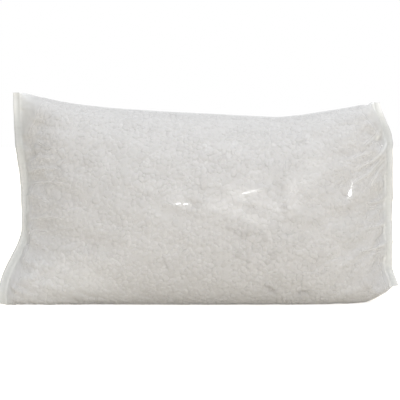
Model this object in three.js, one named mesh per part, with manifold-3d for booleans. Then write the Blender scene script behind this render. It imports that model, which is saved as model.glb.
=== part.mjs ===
// A clear polyethylene pillow bag, stuffed with small polyester fibre balls and standing on one long edge.
// X runs along the bag from end seal to end seal, Y from the front face to the back, and Z up from the floor.
// The bag is a tube of film, sealed flat across both ends, so its section turns from a round pillow in the
// middle into two layers of film lying on each other at each seal. Sizes are in millimetres.

import * as THREE from 'three';
import { mergeVertices } from 'three/addons/utils/BufferGeometryUtils.js';
import Module from 'manifold-3d';

// Body of the filled bag
const BAG_LENGTH = 451; // between the inner edges of the two end seals, at mid height
const BAG_HEIGHT = 232; // from the floor to the dip in the top edge
const BAG_DEPTH = 146; // front face to back face at the fattest place
const SETTLING = 15; // how much of the rounded underside is pressed flat on the floor

// Swelling: a higher fullness keeps the depth further out, and a lower steepness makes it end more bluntly
const END_FULLNESS = 4;
const END_STEEPNESS = 0.87;
const CROWN_FULLNESS = 2;
const CROWN_STEEPNESS = 0.64;
const FOOT_FULLNESS = 2.6; // the filling's weight makes the lower half fuller
const FOOT_STEEPNESS = 0.58;
const LUMP_DEPTH = 1.3; // the filling is packed unevenly, so the body has slow swells
const LUMP_LENGTH = 95;
const LUMP_HEIGHT = 70;

// Film
const FILM_WALL = 0.5;
const SEAL_WIDTH = 8; // width of the welded strip at each end
const SEAL_WAVE = 5; // how far the strip waves out of its plane
const SEAL_WAVES = 2.5; // waves along the strip
const VENT_DIAMETER = 6; // air hole punched in the back panel
const VENT_FROM_SEAL = 75;
const VENT_BELOW_TOP = 75;

// Top edge: it dips where a fold of film crosses it and climbs from there to both upper corners
const DIP_FROM_SEAL = 137; // from the right seal
const TOP_LEFT_RISE = 32;
const TOP_RIGHT_RISE = 20;

// Corners: how far each one reaches past the seal's place at mid height, and over what height it does so
const TOP_LEFT = { reach: 8, band: 130 };
const TOP_RIGHT = { reach: -17, band: 50 }; // this corner is tucked in
const BOTTOM_LEFT = { reach: 24, band: 62, lift: 0, flop: 34 };
const BOTTOM_RIGHT = { reach: 9, band: 40, lift: 20, flop: 18 }; // its tip is off the floor
const CORNER_TAPER = 6; // how suddenly the body changes into its corners and seals

// Gathers in the film along each seal, on each face
const PLEATS = 7;
const PLEAT_DEPTH = 3.2;
const PLEAT_REACH = 26; // distance from the seal at which a gather is deepest
const PLEAT_SLANT = 55; // how steeply the gathers fan down from the tucked corner

// The long fold that runs down the front face from beside the dip
const FOLD_DEPTH = 5;
const FOLD_WIDTH = 11;
const FOLD_LENGTH = 137;
const FOLD_TOP_OFFSET = -20; // from the dip, along the bag
const FOLD_FOOT_OFFSET = 7;

// Filling
const FILL_GAP = 0.4; // between the film and the balls that press on it
const FILL_RELIEF = 3.4; // how far the gaps between balls go in
const FILL_END_HALF_DEPTH = 10; // the filling stops where the bag is thinner than about two balls

// Mesh
const FACE_STEPS = 30; // points from the bottom fold to the top one, on each face
const RING = 2 * FACE_STEPS;
const END_STATIONS = [0, 2, 6, 12, 19, 27, 37, 49, 63, 80, 102]; // distances of sections from a seal
const MID_STEP = 24; // spacing of the sections between the two ends
const FOLD_STEP = 9; // spacing of the sections at the long fold
const VENT_SIDES = 16;

const HALF_LENGTH = BAG_LENGTH / 2;
const DIP_X = HALF_LENGTH - DIP_FROM_SEAL;

const wasm = await Module();
wasm.setup();

const clamp = THREE.MathUtils.clamp;
const lerp = THREE.MathUtils.lerp;
const smooth = (value) => THREE.MathUtils.smoothstep(value, 0, 1);

// Share of the full depth at a share of the way out from the middle.
function swell(outward, fullness, steepness) {
	return Math.max(0, 1 - Math.abs(outward) ** fullness) ** steepness;
}

// The smaller of two shares of the depth, with a rounded change from one to the other.
function softMin(a, b) {
	return 1 / Math.sqrt(1 / a ** 2 + 1 / b ** 2 - 1);
}

// Height of the top fold above the floor, at a place x along the bag. On the left it climbs slowly at first
// and then quickly to the corner.
function topEdge(x) {
	if (x > DIP_X) return BAG_HEIGHT + TOP_RIGHT_RISE * clamp((x - DIP_X) / (HALF_LENGTH - DIP_X), 0, 1);
	const along = clamp((DIP_X - x) / (HALF_LENGTH + DIP_X), 0, 1);
	return BAG_HEIGHT + TOP_LEFT_RISE * (0.45 * along + 0.55 * along ** CORNER_TAPER);
}

// How far the seal lies out from its place at mid height, between an upper and a lower corner.
function sealReach(upper, lower, height, top) {
	const up = upper.reach * smooth((height - top + upper.band) / upper.band);
	const down = lower.reach * smooth(1.25 - height / lower.band);
	return up + down;
}

// Height of a gather, which starts at the seal, is deepest at its reach and fades into the body.
function pleat(end, side, share, fromSeal) {
	const fade = (fromSeal / PLEAT_REACH) * Math.exp(1 - fromSeal / PLEAT_REACH);
	const slant = end > 0 ? (fromSeal / PLEAT_SLANT) * share ** 2 : 0;
	const phase = 2 * Math.PI * (PLEATS * share + slant) + 1.3 * side + 0.7 * end;
	return PLEAT_DEPTH * fade * (0.7 * Math.cos(phase) + 0.3 * Math.cos(1.7 * phase + 2));
}

// Depth of the long fold, which bends towards the right seal as it goes down and fades out below its foot.
function fold(x, height, side) {
	if (side > 0) return 0;
	const down = clamp((BAG_HEIGHT - height) / FOLD_LENGTH, 0, 1.4);
	const line = DIP_X + lerp(FOLD_TOP_OFFSET, FOLD_FOOT_OFFSET, down ** 2);
	return FOLD_DEPTH * Math.exp(-(((x - line) / FOLD_WIDTH) ** 2)) * smooth(1.5 - 1.2 * down);
}

// Slow swells of the body, in rows that are shifted against each other.
function lump(x, height, side) {
	const row = (2 * Math.PI * height) / LUMP_HEIGHT;
	return LUMP_DEPTH * Math.sin((2 * Math.PI * x) / LUMP_LENGTH + 0.8 * row + side) * Math.cos(row - 1.7 * side);
}

// A point of the bag's outer surface. along is -1 at the left seal and 1 at the right one, and turn goes once
// round the section: 0 at the bottom fold, up the front face, 0.5 at the top fold and down the back face.
// fin is the distance past the seal's inner edge.
function bagPoint(along, turn, fin = 0) {
	const end = along < 0 ? -1 : 1;
	const side = turn < 0.5 ? -1 : 1;
	const share = side < 0 ? 2 * turn : 2 - 2 * turn;
	const [upper, lower] = end < 0 ? [TOP_LEFT, BOTTOM_LEFT] : [TOP_RIGHT, BOTTOM_RIGHT];
	const toSeal = Math.abs(along) ** CORNER_TAPER;
	const fromSeal = HALF_LENGTH * (1 - Math.abs(along));

	// Points are spread evenly over the round section in the middle and along the flat seal at the ends
	const flatness = lerp(0.2, 0.9, toSeal);
	const across = clamp(lerp(-Math.cos(Math.PI * share), 2 * share - 1, flatness), -1, 1);

	const plainX = along * HALF_LENGTH;
	const top = topEdge(plainX);
	const height = lerp(lerp(-SETTLING, lower.lift, toSeal), top, (across + 1) / 2);
	const x = plainX + end * (toSeal * sealReach(upper, lower, height, top) + fin);

	// The folds along the top and bottom stay where they are, and the faces swell out between them
	const offFold = Math.sqrt(1 - across ** 2);
	const lengthwise = swell(along, END_FULLNESS, END_STEEPNESS);
	const crosswise = across > 0
		? swell(across, CROWN_FULLNESS, CROWN_STEEPNESS)
		: swell(across, FOOT_FULLNESS, FOOT_STEEPNESS);
	const plainDepth = (BAG_DEPTH / 2) * softMin(lengthwise, crosswise);
	const relief = pleat(end, side, share, fromSeal) - fold(x, height, side) + lump(x, height, side);
	const room = Math.min(1, plainDepth / (4 * PLEAT_DEPTH));
	const halfDepth = Math.max(0, plainDepth + room * offFold * relief) + FILM_WALL * offFold;

	const phase = 2 * Math.PI * SEAL_WAVES * share + end;
	const wave = SEAL_WAVE * Math.sin(phase) * offFold * toSeal ** 4;
	const flop = lower.flop * toSeal * smooth(1.2 - height / lower.band);
	return new THREE.Vector3(x, side * halfDepth + wave - flop, Math.max(0, height));
}

// The places of the bag's sections, as shares of half its length.
function stations() {
	const ends = END_STATIONS.map((distance) => HALF_LENGTH - distance);
	const inner = ends.at(-1);
	const steps = Math.max(1, Math.round((2 * inner) / MID_STEP));
	const middle = Array.from({ length: steps - 1 }, (_, i) => lerp(-inner, inner, (i + 1) / steps));
	const foldX = DIP_X + (FOLD_TOP_OFFSET + FOLD_FOOT_OFFSET) / 2;
	const atFold = [-2, -1, 0, 1, 2].map((i) => foldX + i * FOLD_STEP);
	const besideFold = middle.filter((x) => Math.abs(x - foldX) > 2.5 * FOLD_STEP);
	const places = [...ends.map((x) => -x), ...besideFold, ...atFold, ...ends];
	return places.sort((a, b) => a - b).map((x) => x / HALF_LENGTH);
}

// Rings of points, one for each section, with the welded strip's edge before the first and after the last.
function bagRings(places) {
	const turns = Array.from({ length: RING }, (_, i) => i / RING);
	const ring = (along, fin) => turns.map((turn) => bagPoint(along, turn, fin));
	return [ring(-1, SEAL_WIDTH), ...places.map((along) => ring(along, 0)), ring(1, SEAL_WIDTH)];
}

// Each point's outward normal, from its neighbours along and round the bag.
function ringNormals(rings) {
	return rings.map((ring, i) => ring.map((_, j) => {
		const before = rings[Math.max(0, i - 1)][j];
		const after = rings[Math.min(rings.length - 1, i + 1)][j];
		const lower = ring[(j + RING - 1) % RING];
		const upper = ring[(j + 1) % RING];
		const lengthwise = new THREE.Vector3().subVectors(after, before);
		return lengthwise.cross(new THREE.Vector3().subVectors(upper, lower)).normalize();
	}));
}

// A closed solid through a row of rings. Each end is closed by a strip between its front and back points.
function solidThrough(rings) {
	const positions = rings.flat().flatMap((point) => [point.x, point.y, point.z]);
	const index = [];
	const quad = (a, b, c, d) => index.push(a, b, c, a, c, d);
	for (let i = 0; i < rings.length - 1; i++) {
		for (let j = 0; j < RING; j++) {
			const next = (j + 1) % RING;
			quad(i * RING + j, (i + 1) * RING + j, (i + 1) * RING + next, i * RING + next);
		}
	}
	for (const [first, reversed] of [[0, false], [(rings.length - 1) * RING, true]]) {
		for (let j = 0; j < FACE_STEPS; j++) {
			const corners = new Set([j, j + 1, RING - j - 1, (RING - j) % RING].map((k) => first + k));
			const loop = reversed ? [...corners].reverse() : [...corners];
			if (loop.length === 4) quad(...loop);
			else index.push(...loop);
		}
	}
	const geometry = new THREE.BufferGeometry();
	geometry.setAttribute('position', new THREE.Float32BufferAttribute(positions, 3));
	geometry.setIndex(index);
	return toManifold(geometry);
}

function toManifold(geometry) {
	const bare = geometry.index ? geometry.toNonIndexed() : geometry.clone();
	bare.deleteAttribute('normal');
	bare.deleteAttribute('uv');
	const merged = mergeVertices(bare, 1e-4);
	return new wasm.Manifold(new wasm.Mesh({
		numProp: 3,
		vertProperties: new Float32Array(merged.attributes.position.array),
		triVerts: new Uint32Array(merged.index.array),
	}));
}

function toGeometry(solid) {
	const mesh = solid.getMesh();
	const geometry = new THREE.BufferGeometry();
	geometry.setAttribute('position', new THREE.BufferAttribute(mesh.vertProperties, 3));
	geometry.setIndex(new THREE.BufferAttribute(mesh.triVerts, 1));
	geometry.computeVertexNormals();
	return geometry;
}

// A fixed scatter of numbers from 0 to 1, one for each ball-sized patch of the filling.
function scatter(i, j) {
	const value = Math.sin(127.1 * i + 311.7 * j) * 43758.5453;
	return value - Math.floor(value);
}

// Rings set in from the bag's surface by a distance for each point.
function inset(rings, normals, distance) {
	return rings.map((ring, i) => ring.map((point, j) => {
		return point.clone().addScaledVector(normals[i][j], -distance(i, j));
	}));
}

const rings = bagRings(stations());
const normals = ringNormals(rings);
const frontMiddle = Math.round(FACE_STEPS / 2);
const halfDepthOf = (ring) => (ring[RING - frontMiddle].y - ring[frontMiddle].y) / 2;

// The film: the outer form, less the space inside it and the air hole
const hollow = inset(rings, normals, () => FILM_WALL)
	.filter((_, i) => halfDepthOf(rings[i]) > 3 * FILM_WALL);
const airHole = new THREE.CylinderGeometry(VENT_DIAMETER / 2, VENT_DIAMETER / 2, BAG_DEPTH, VENT_SIDES);
airHole.translate(HALF_LENGTH - VENT_FROM_SEAL, BAG_DEPTH / 2 + 2 * FILM_WALL, BAG_HEIGHT - VENT_BELOW_TOP);
const film = solidThrough(rings).subtract(solidThrough(hollow)).subtract(toManifold(airHole));

// The filling: balls pressed against the film, with hollows between them
const fillRings = inset(rings, normals, (i, j) => FILM_WALL + FILL_GAP + FILL_RELIEF * scatter(i, j))
	.filter((_, i) => halfDepthOf(rings[i]) > FILL_END_HALF_DEPTH);
const filling = solidThrough(fillRings);

const bag = new THREE.Group();

const filmMesh = new THREE.Mesh(
	toGeometry(film),
	new THREE.MeshStandardMaterial({
		color: 0xe9ecec, roughness: 0.18, metalness: 0, transparent: true, opacity: 0.3, side: THREE.DoubleSide,
	}),
);
filmMesh.name = 'film_bag';

const fillMesh = new THREE.Mesh(
	toGeometry(filling),
	new THREE.MeshStandardMaterial({ color: 0xd6d4d0, roughness: 0.95, metalness: 0 }),
);
fillMesh.name = 'fiberfill_balls';

// The origin is on the floor, under the middle of the bag
const extent = new THREE.Box3().setFromObject(filmMesh);
const centre = extent.getCenter(new THREE.Vector3());
for (const mesh of [filmMesh, fillMesh]) {
	mesh.position.set(-centre.x, -centre.y, -extent.min.z);
	bag.add(mesh);
}

export default bag;
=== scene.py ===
"""Looks of a clear film pillow bag, stuffed with small balls of polyester fibre.

The bag is a tube of film, sealed flat across both ends. Its film is inflated from the lay-flat tube by a
cloth simulation, whose wrinkles are then carried over to the bag's measured form. Fibre balls lie
side by side under the film, around a core of more filling. Sizes are in metres.
"""

from __future__ import annotations

import logging
import math
from dataclasses import dataclass, field
from enum import Enum

import bpy
import numpy as np
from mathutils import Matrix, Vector

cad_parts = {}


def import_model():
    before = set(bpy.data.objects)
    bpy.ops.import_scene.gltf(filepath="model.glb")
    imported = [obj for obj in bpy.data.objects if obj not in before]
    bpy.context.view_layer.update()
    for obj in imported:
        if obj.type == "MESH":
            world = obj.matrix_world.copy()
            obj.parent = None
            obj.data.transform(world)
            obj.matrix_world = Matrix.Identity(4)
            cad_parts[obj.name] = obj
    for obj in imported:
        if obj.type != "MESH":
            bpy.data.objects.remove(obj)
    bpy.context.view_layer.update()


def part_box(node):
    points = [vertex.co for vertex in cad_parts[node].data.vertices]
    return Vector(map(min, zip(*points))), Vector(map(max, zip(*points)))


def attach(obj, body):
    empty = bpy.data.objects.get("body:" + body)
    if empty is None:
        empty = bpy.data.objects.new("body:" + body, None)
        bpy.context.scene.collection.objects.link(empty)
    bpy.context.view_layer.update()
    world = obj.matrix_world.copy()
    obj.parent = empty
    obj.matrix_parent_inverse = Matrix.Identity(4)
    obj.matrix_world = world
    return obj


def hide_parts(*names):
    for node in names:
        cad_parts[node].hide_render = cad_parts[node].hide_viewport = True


LOG = logging.getLogger("fibre_bag")
FILM_NODE = "film_bag"
FILL_NODE = "fiberfill_balls"
BODY = "root"
FORM_STEPS = 400
BALL_WAVES = 5
BALL_WAVE_RANGE = (1.6, 4.2)
WHITE = (1.0, 1.0, 1.0)


def smooth(value: np.ndarray) -> np.ndarray:
    """Ease from 0 to 1 as 3 t^2 - 2 t^3, held at both ends.

    Args:
        value: The plain ramp, of any size.

    Returns:
        The eased ramp.
    """
    ramp = np.clip(value, 0.0, 1.0)
    return ramp * ramp * (3.0 - 2.0 * ramp)


def unit(vectors: np.ndarray) -> np.ndarray:
    """Scale vectors to length 1 along their last axis.

    Args:
        vectors: Vectors of any length.

    Returns:
        The same directions at length 1.
    """
    return vectors / np.maximum(np.linalg.norm(vectors, axis=-1, keepdims=True), 1e-12)


def gaussian_kernel(sigma: float) -> np.ndarray:
    """Weights of a Gaussian blur.

    Args:
        sigma: Its spread in cells.

    Returns:
        Weights out to three spreads, with a sum of 1.
    """
    radius = int(3 * sigma) + 1
    weights = np.exp(-0.5 * (np.arange(-radius, radius + 1) / sigma) ** 2)
    return weights / weights.sum()


def blur(values: np.ndarray, sigma: float) -> np.ndarray:
    """Blur a field on a tube: held at its two ends and wrapped round its rings.

    Args:
        values: Field of shape (sections, ring, parts).
        sigma: Spread of the blur in cells.

    Returns:
        The blurred field, of the same shape.
    """
    kernel = gaussian_kernel(sigma)
    radius = len(kernel) // 2
    padded = np.pad(values, ((radius, radius), (0, 0), (0, 0)), mode="edge")
    along = sum(w * padded[i:i + values.shape[0]] for i, w in enumerate(kernel))
    padded = np.pad(along, ((0, 0), (radius, radius), (0, 0)), mode="wrap")
    return sum(w * padded[:, i:i + values.shape[1]] for i, w in enumerate(kernel))


def blur_ring(values: np.ndarray, sigma: float) -> np.ndarray:
    """Blur rows of numbers that each close on themselves.

    Args:
        values: Rows of shape (rows, ring).
        sigma: Spread of the blur in cells.

    Returns:
        The blurred rows.
    """
    kernel = gaussian_kernel(sigma)
    radius = len(kernel) // 2
    padded = np.pad(values, ((0, 0), (radius, radius)), mode="wrap")
    return sum(w * padded[:, i:i + values.shape[1]] for i, w in enumerate(kernel))


def spline_taps(size: int, count: int, closed: bool) -> tuple[np.ndarray, np.ndarray]:
    """Four neighbours and their cubic B-spline weights, for points spread evenly over a row of others.

    Args:
        size: Points in the row, with one more at each end where it isn't closed.
        count: Points to read from it.
        closed: Whether the row closes on itself.

    Returns:
        Point numbers and weights, both of shape (count, 4).
    """
    if closed:
        place = np.arange(count) * size / count
        first = np.floor(place).astype(int)
        taps = (first[:, None] + np.arange(-1, 3)) % size
    else:
        place = np.linspace(0.0, size - 3.0, count)
        first = np.minimum(np.floor(place).astype(int), size - 4)
        taps = first[:, None] + np.arange(4)
    f = place - first
    weights = [(1 - f) ** 3, 3 * f ** 3 - 6 * f ** 2 + 4, -3 * f ** 3 + 3 * f ** 2 + 3 * f + 1, f ** 3]
    return taps, np.stack(weights, -1) / 6.0


def resample(values: np.ndarray, sections: int, ring: int) -> np.ndarray:
    """Read a field on a tube at another number of points, along a smooth cubic B-spline surface.

    Args:
        values: Field of shape (old sections, old ring, parts).
        sections: New number of sections. The first and the last one stay where they are.
        ring: New number of points in a ring.

    Returns:
        Field of shape (sections, ring, parts).
    """
    ends = [2.0 * values[:1] - values[1:2], values, 2.0 * values[-1:] - values[-2:-1]]
    extended = np.concatenate(ends)
    taps, weights = spline_taps(extended.shape[0], sections, False)
    along = sum(extended[taps[:, k]] * weights[:, k, None, None] for k in range(4))
    taps, weights = spline_taps(values.shape[1], ring, True)
    return sum(along[:, taps[:, k]] * weights[:, k, None] for k in range(4))


def tube_normals(points: np.ndarray) -> np.ndarray:
    """Outward normals of a tube of rings, from each point's neighbours along and round it.

    Args:
        points: Positions of shape (sections, ring, 3). Rings run up the front face and down the back.

    Returns:
        Unit normals of the same shape.
    """
    along = np.gradient(points, axis=0)
    around = np.roll(points, -1, 1) - np.roll(points, 1, 1)
    return unit(np.cross(along, around))


def arc_lengths(points: np.ndarray, axis: int) -> np.ndarray:
    """Distance travelled along a row of points.

    Args:
        points: Positions with their three parts on the last axis.
        axis: The axis to travel along.

    Returns:
        Distances from the first point, with the parts' axis dropped.
    """
    steps = np.linalg.norm(np.diff(points, axis=axis), axis=-1)
    start = np.zeros_like(np.take(steps, [0], axis=axis))
    return np.concatenate([start, np.cumsum(steps, axis=axis)], axis=axis)


@dataclass(frozen=True)
class Swell:
    """How depth falls from the middle to an edge, as (1 - outward ** fullness) ** steepness."""

    fullness: float
    steepness: float

    def share(self, outward: np.ndarray) -> np.ndarray:
        """Share of the full depth at a share of the way out from the middle.

        Args:
            outward: 0 in the middle and 1 or -1 at the edges.

        Returns:
            1 in the middle and 0 at the edges.
        """
        return np.maximum(0.0, 1.0 - np.abs(outward) ** self.fullness) ** self.steepness


@dataclass(frozen=True)
class Corner:
    """One corner of the bag: how far it reaches past the seal, and over what height.

    A lower corner may also lift off the floor and flop forwards.
    """

    reach: float
    band: float
    lift: float = 0.0
    flop: float = 0.0


@dataclass(frozen=True)
class BagForm:
    """The bag's measured form, as two faces that swell out between the folds and the end seals."""

    length: float = 0.451
    height: float = 0.232
    depth: float = 0.146
    settling: float = 0.015
    ends: Swell = Swell(4.0, 0.87)
    crown: Swell = Swell(2.0, 0.64)
    foot: Swell = Swell(2.6, 0.58)
    dip_from_seal: float = 0.137
    dip_round: float = 0.014
    left_rise: float = 0.0365
    left_slope: float = 0.45
    left_sweep: float = 0.55
    right_rise: float = 0.020
    top_left: Corner = Corner(0.008, 0.130)
    top_right: Corner = Corner(-0.017, 0.050)
    bottom_left: Corner = Corner(0.024, 0.074, 0.0, 0.034)
    bottom_right: Corner = Corner(0.009, 0.040, 0.020, 0.018)
    corner_taper: float = 6.0
    reach_fade: float = 1.25
    flop_fade: float = 1.2
    body_flatness: float = 0.2
    end_flatness: float = 0.7
    seal_width: float = 0.008
    seal_wave: float = 0.005
    seal_waves: float = 2.5
    seal_wave_taper: int = 4
    wall: float = 0.0005
    lump_depth: float = 0.0013
    lump_length: float = 0.095
    lump_height: float = 0.070
    lump_slant: float = 0.8
    lump_shift: float = 1.7
    pleats: int = 7
    pleat_depth: float = 0.0032
    pleat_reach: float = 0.026
    pleat_slant: float = 0.055
    pleat_shares: tuple[float, float] = (0.7, 0.3)
    pleat_shifts: tuple[float, float, float] = (1.3, 0.7, 2.0)
    narrow_pleats: float = 1.7
    pleat_room: float = 4.0
    fold_depth: float = 0.005
    fold_width: float = 0.011
    fold_length: float = 0.137
    fold_top_offset: float = -0.020
    fold_foot_offset: float = 0.007
    fold_run: float = 1.4
    fold_strength: float = 1.5
    fold_fade: float = 1.2

    @property
    def dip_x(self) -> float:
        """Place of the dip in the top edge, along the bag from its middle."""
        return self.length / 2 - self.dip_from_seal

    def top_edge(self, x: np.ndarray) -> np.ndarray:
        """Height of the top fold: lowest at the dip, rising straight to the right and late to the left.

        Args:
            x: Places along the bag.

        Returns:
            Heights above the floor.
        """
        half = self.length / 2
        ahead = np.hypot(x - self.dip_x, self.dip_round) - self.dip_round
        right = self.right_rise * np.minimum(ahead / (half - self.dip_x), 1.0)
        run = np.minimum(ahead / (half + self.dip_x), 1.0)
        left = self.left_rise * (self.left_slope * run + self.left_sweep * run ** self.corner_taper)
        return self.height + np.where(x > self.dip_x, right, left)

    def pleat(self, end: np.ndarray, side: int, share: np.ndarray, from_seal: np.ndarray) -> np.ndarray:
        """Height of the gathers that start at each seal: two cosines, deepest at their reach.

        Args:
            end: -1 at the left end and 1 at the right one.
            side: -1 for the front face and 1 for the back.
            share: 0 at the bottom fold and 1 at the top one.
            from_seal: Distance from the seal.

        Returns:
            Heights along the outward direction.
        """
        fade = (from_seal / self.pleat_reach) * np.exp(1.0 - from_seal / self.pleat_reach)
        slant = np.where(end > 0, from_seal / self.pleat_slant * share ** 2, 0.0)
        by_side, by_end, narrow_shift = self.pleat_shifts
        phase = 2.0 * np.pi * (self.pleats * share + slant) + by_side * side + by_end * end
        broad, narrow = self.pleat_shares
        waves = broad * np.cos(phase) + narrow * np.cos(self.narrow_pleats * phase + narrow_shift)
        return self.pleat_depth * fade * waves

    def fold(self, x: np.ndarray, height: np.ndarray, side: int) -> np.ndarray:
        """Depth of the long fold that runs down the front face from beside the dip.

        Args:
            x: Places along the bag.
            height: Heights above the floor.
            side: -1 for the front face and 1 for the back, which has no such fold.

        Returns:
            Depths: a Gaussian groove whose line bends to the right and which fades out at its foot.
        """
        if side > 0:
            return np.zeros(np.broadcast_shapes(x.shape, height.shape))
        down = np.clip((self.height - height) / self.fold_length, 0.0, self.fold_run)
        reach = self.fold_foot_offset - self.fold_top_offset
        line = self.dip_x + self.fold_top_offset + reach * down ** 2
        fade = smooth(self.fold_strength - self.fold_fade * down)
        return self.fold_depth * np.exp(-((x - line) / self.fold_width) ** 2) * fade

    def lump(self, x: np.ndarray, height: np.ndarray, side: int) -> np.ndarray:
        """Height of the body's slow swells, in rows that are shifted against each other.

        Args:
            x: Places along the bag.
            height: Heights above the floor.
            side: -1 for the front face and 1 for the back.

        Returns:
            Heights along the outward direction.
        """
        row = 2.0 * np.pi * height / self.lump_height
        wave = np.sin(2.0 * np.pi * x / self.lump_length + self.lump_slant * row + side)
        return self.lump_depth * wave * np.cos(row - self.lump_shift * side)

    def points(self, along: np.ndarray, share: np.ndarray, side: int) -> np.ndarray:
        """Points of one face. The half depth is the softened lesser of a lengthwise and a crosswise swell.

        Args:
            along: -1 at the left seal and 1 at the right one, as a column.
            share: 0 at the bottom fold and 1 at the top one.
            side: -1 for the front face and 1 for the back.

        Returns:
            Positions of shape (sections, shares, 3), centred as the form is drawn.
        """
        left = along < 0

        def corner(lower: bool, name: str) -> np.ndarray:
            """One size of the nearer corner, by end."""
            pair = (self.bottom_left, self.bottom_right) if lower else (self.top_left, self.top_right)
            return np.where(left, getattr(pair[0], name), getattr(pair[1], name))

        to_seal = np.abs(along) ** self.corner_taper
        flatness = self.body_flatness + self.end_flatness * to_seal
        across = (1.0 - flatness) * -np.cos(np.pi * share) + flatness * (2.0 * share - 1.0)
        across = np.clip(across, -1.0, 1.0)
        plain_x = along * self.length / 2
        top = self.top_edge(plain_x)
        low = (to_seal - 1.0) * self.settling + to_seal * corner(True, "lift")
        height = low + (top - low) * (across + 1.0) / 2.0
        upper = corner(False, "reach") * smooth((height - top) / corner(False, "band") + 1.0)
        lower = corner(True, "reach") * smooth(self.reach_fade - height / corner(True, "band"))
        outward = np.where(left, -1.0, 1.0)
        x = plain_x + outward * to_seal * (upper + lower)

        lengthwise = self.ends.share(along)
        crosswise = np.where(across > 0, self.crown.share(across), self.foot.share(across))
        with np.errstate(divide="ignore"):
            swelling = 1.0 / np.sqrt(1.0 / lengthwise ** 2 + 1.0 / crosswise ** 2 - 1.0)
        off_fold = np.sqrt(np.maximum(0.0, 1.0 - across ** 2))
        plain_depth = self.depth / 2 * swelling
        from_seal = self.length / 2 * (1.0 - np.abs(along))
        relief = self.pleat(outward, side, share, from_seal) - self.fold(x, height, side)
        relief = relief + self.lump(x, height, side)
        room = np.minimum(1.0, plain_depth / (self.pleat_room * self.pleat_depth))
        half_depth = np.maximum(0.0, plain_depth + room * off_fold * relief) + self.wall * off_fold
        phase = 2.0 * np.pi * self.seal_waves * share + outward
        wave = self.seal_wave * np.sin(phase) * off_fold * to_seal ** self.seal_wave_taper
        flop = corner(True, "flop") * to_seal * smooth(self.flop_fade - height / corner(True, "band"))
        y = side * half_depth + wave - flop
        return np.stack(np.broadcast_arrays(x, y, np.maximum(0.0, height)), -1)


@dataclass
class Tube:
    """The bag's film as rings of points, with the size of the lay-flat tube that it is made of."""

    rings: np.ndarray
    flat_length: float
    flat_width: float

    @property
    def face_steps(self) -> int:
        """Cells from the bottom fold to the top one, on each face."""
        return self.rings.shape[1] // 2

    @classmethod
    def lay_out(cls, form: BagForm, cell: float) -> "Tube":
        """Spread a square net of film cells over the form, at even distances along and round it.

        The distances are measured on the form in many short steps.

        Args:
            form: The bag's form.
            cell: Size of a cell.

        Returns:
            The tube, with its rings on the form.
        """
        dense = np.linspace(-1.0, 1.0, 2 * FORM_STEPS + 1)
        middle = form.points(dense[:, None], np.full((1, 1), 0.5), -1)[:, 0]
        travelled = arc_lengths(middle, 0)
        flat_length = float(travelled[-1])
        sections = round(flat_length / cell)
        along = np.interp(np.linspace(0.0, flat_length, sections + 1), travelled, dense)
        shares = np.linspace(0.0, 1.0, FORM_STEPS + 1)
        girth = arc_lengths(form.points(along[:, None], shares[None], -1), 1)
        flat_width = float(girth[sections // 2, -1])
        steps = round(flat_width / cell)
        even = np.linspace(0.0, 1.0, steps + 1)
        share = np.stack([np.interp(even * row[-1], row, shares) for row in girth])
        front = form.points(along[:, None], share, -1)
        back = form.points(along[:, None], share, 1)
        rings = np.concatenate([front, back[:, -2:0:-1]], 1)
        return cls(rings, flat_length, flat_width)

    def lay_flat(self, height: float) -> np.ndarray:
        """The tube's rings while it lies flat and empty, in the plane of the seals.

        Args:
            height: Height of its middle line.

        Returns:
            Positions of shape (sections, ring, 3).
        """
        sections, ring, _ = self.rings.shape
        run = np.linspace(-0.5, 0.5, sections)[:, None]
        turn = np.arange(ring)[None] / self.face_steps
        rise = np.where(turn <= 1.0, turn, 2.0 - turn) - 0.5
        x = np.broadcast_to(run * self.flat_length, (sections, ring))
        z = np.broadcast_to(height + rise * self.flat_width, (sections, ring))
        return np.stack([x, np.zeros_like(x), z], -1)

    @staticmethod
    def open_slightly(flat: np.ndarray, gap: float) -> np.ndarray:
        """Part the two layers of the flat tube like a thin lens, so that air can enter.

        Args:
            flat: Rings of the flat tube.
            gap: Distance between the layers in the middle.

        Returns:
            Rings with the front layer moved forwards and the back one backwards.
        """
        sections, ring, _ = flat.shape
        run = np.linspace(-1.0, 1.0, sections)[:, None]
        turn = 2.0 * np.pi * np.arange(ring)[None] / ring
        opened = flat.copy()
        opened[..., 1] -= gap / 2 * np.sqrt(1.0 - run ** 2) * np.sin(turn)
        return opened


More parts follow.
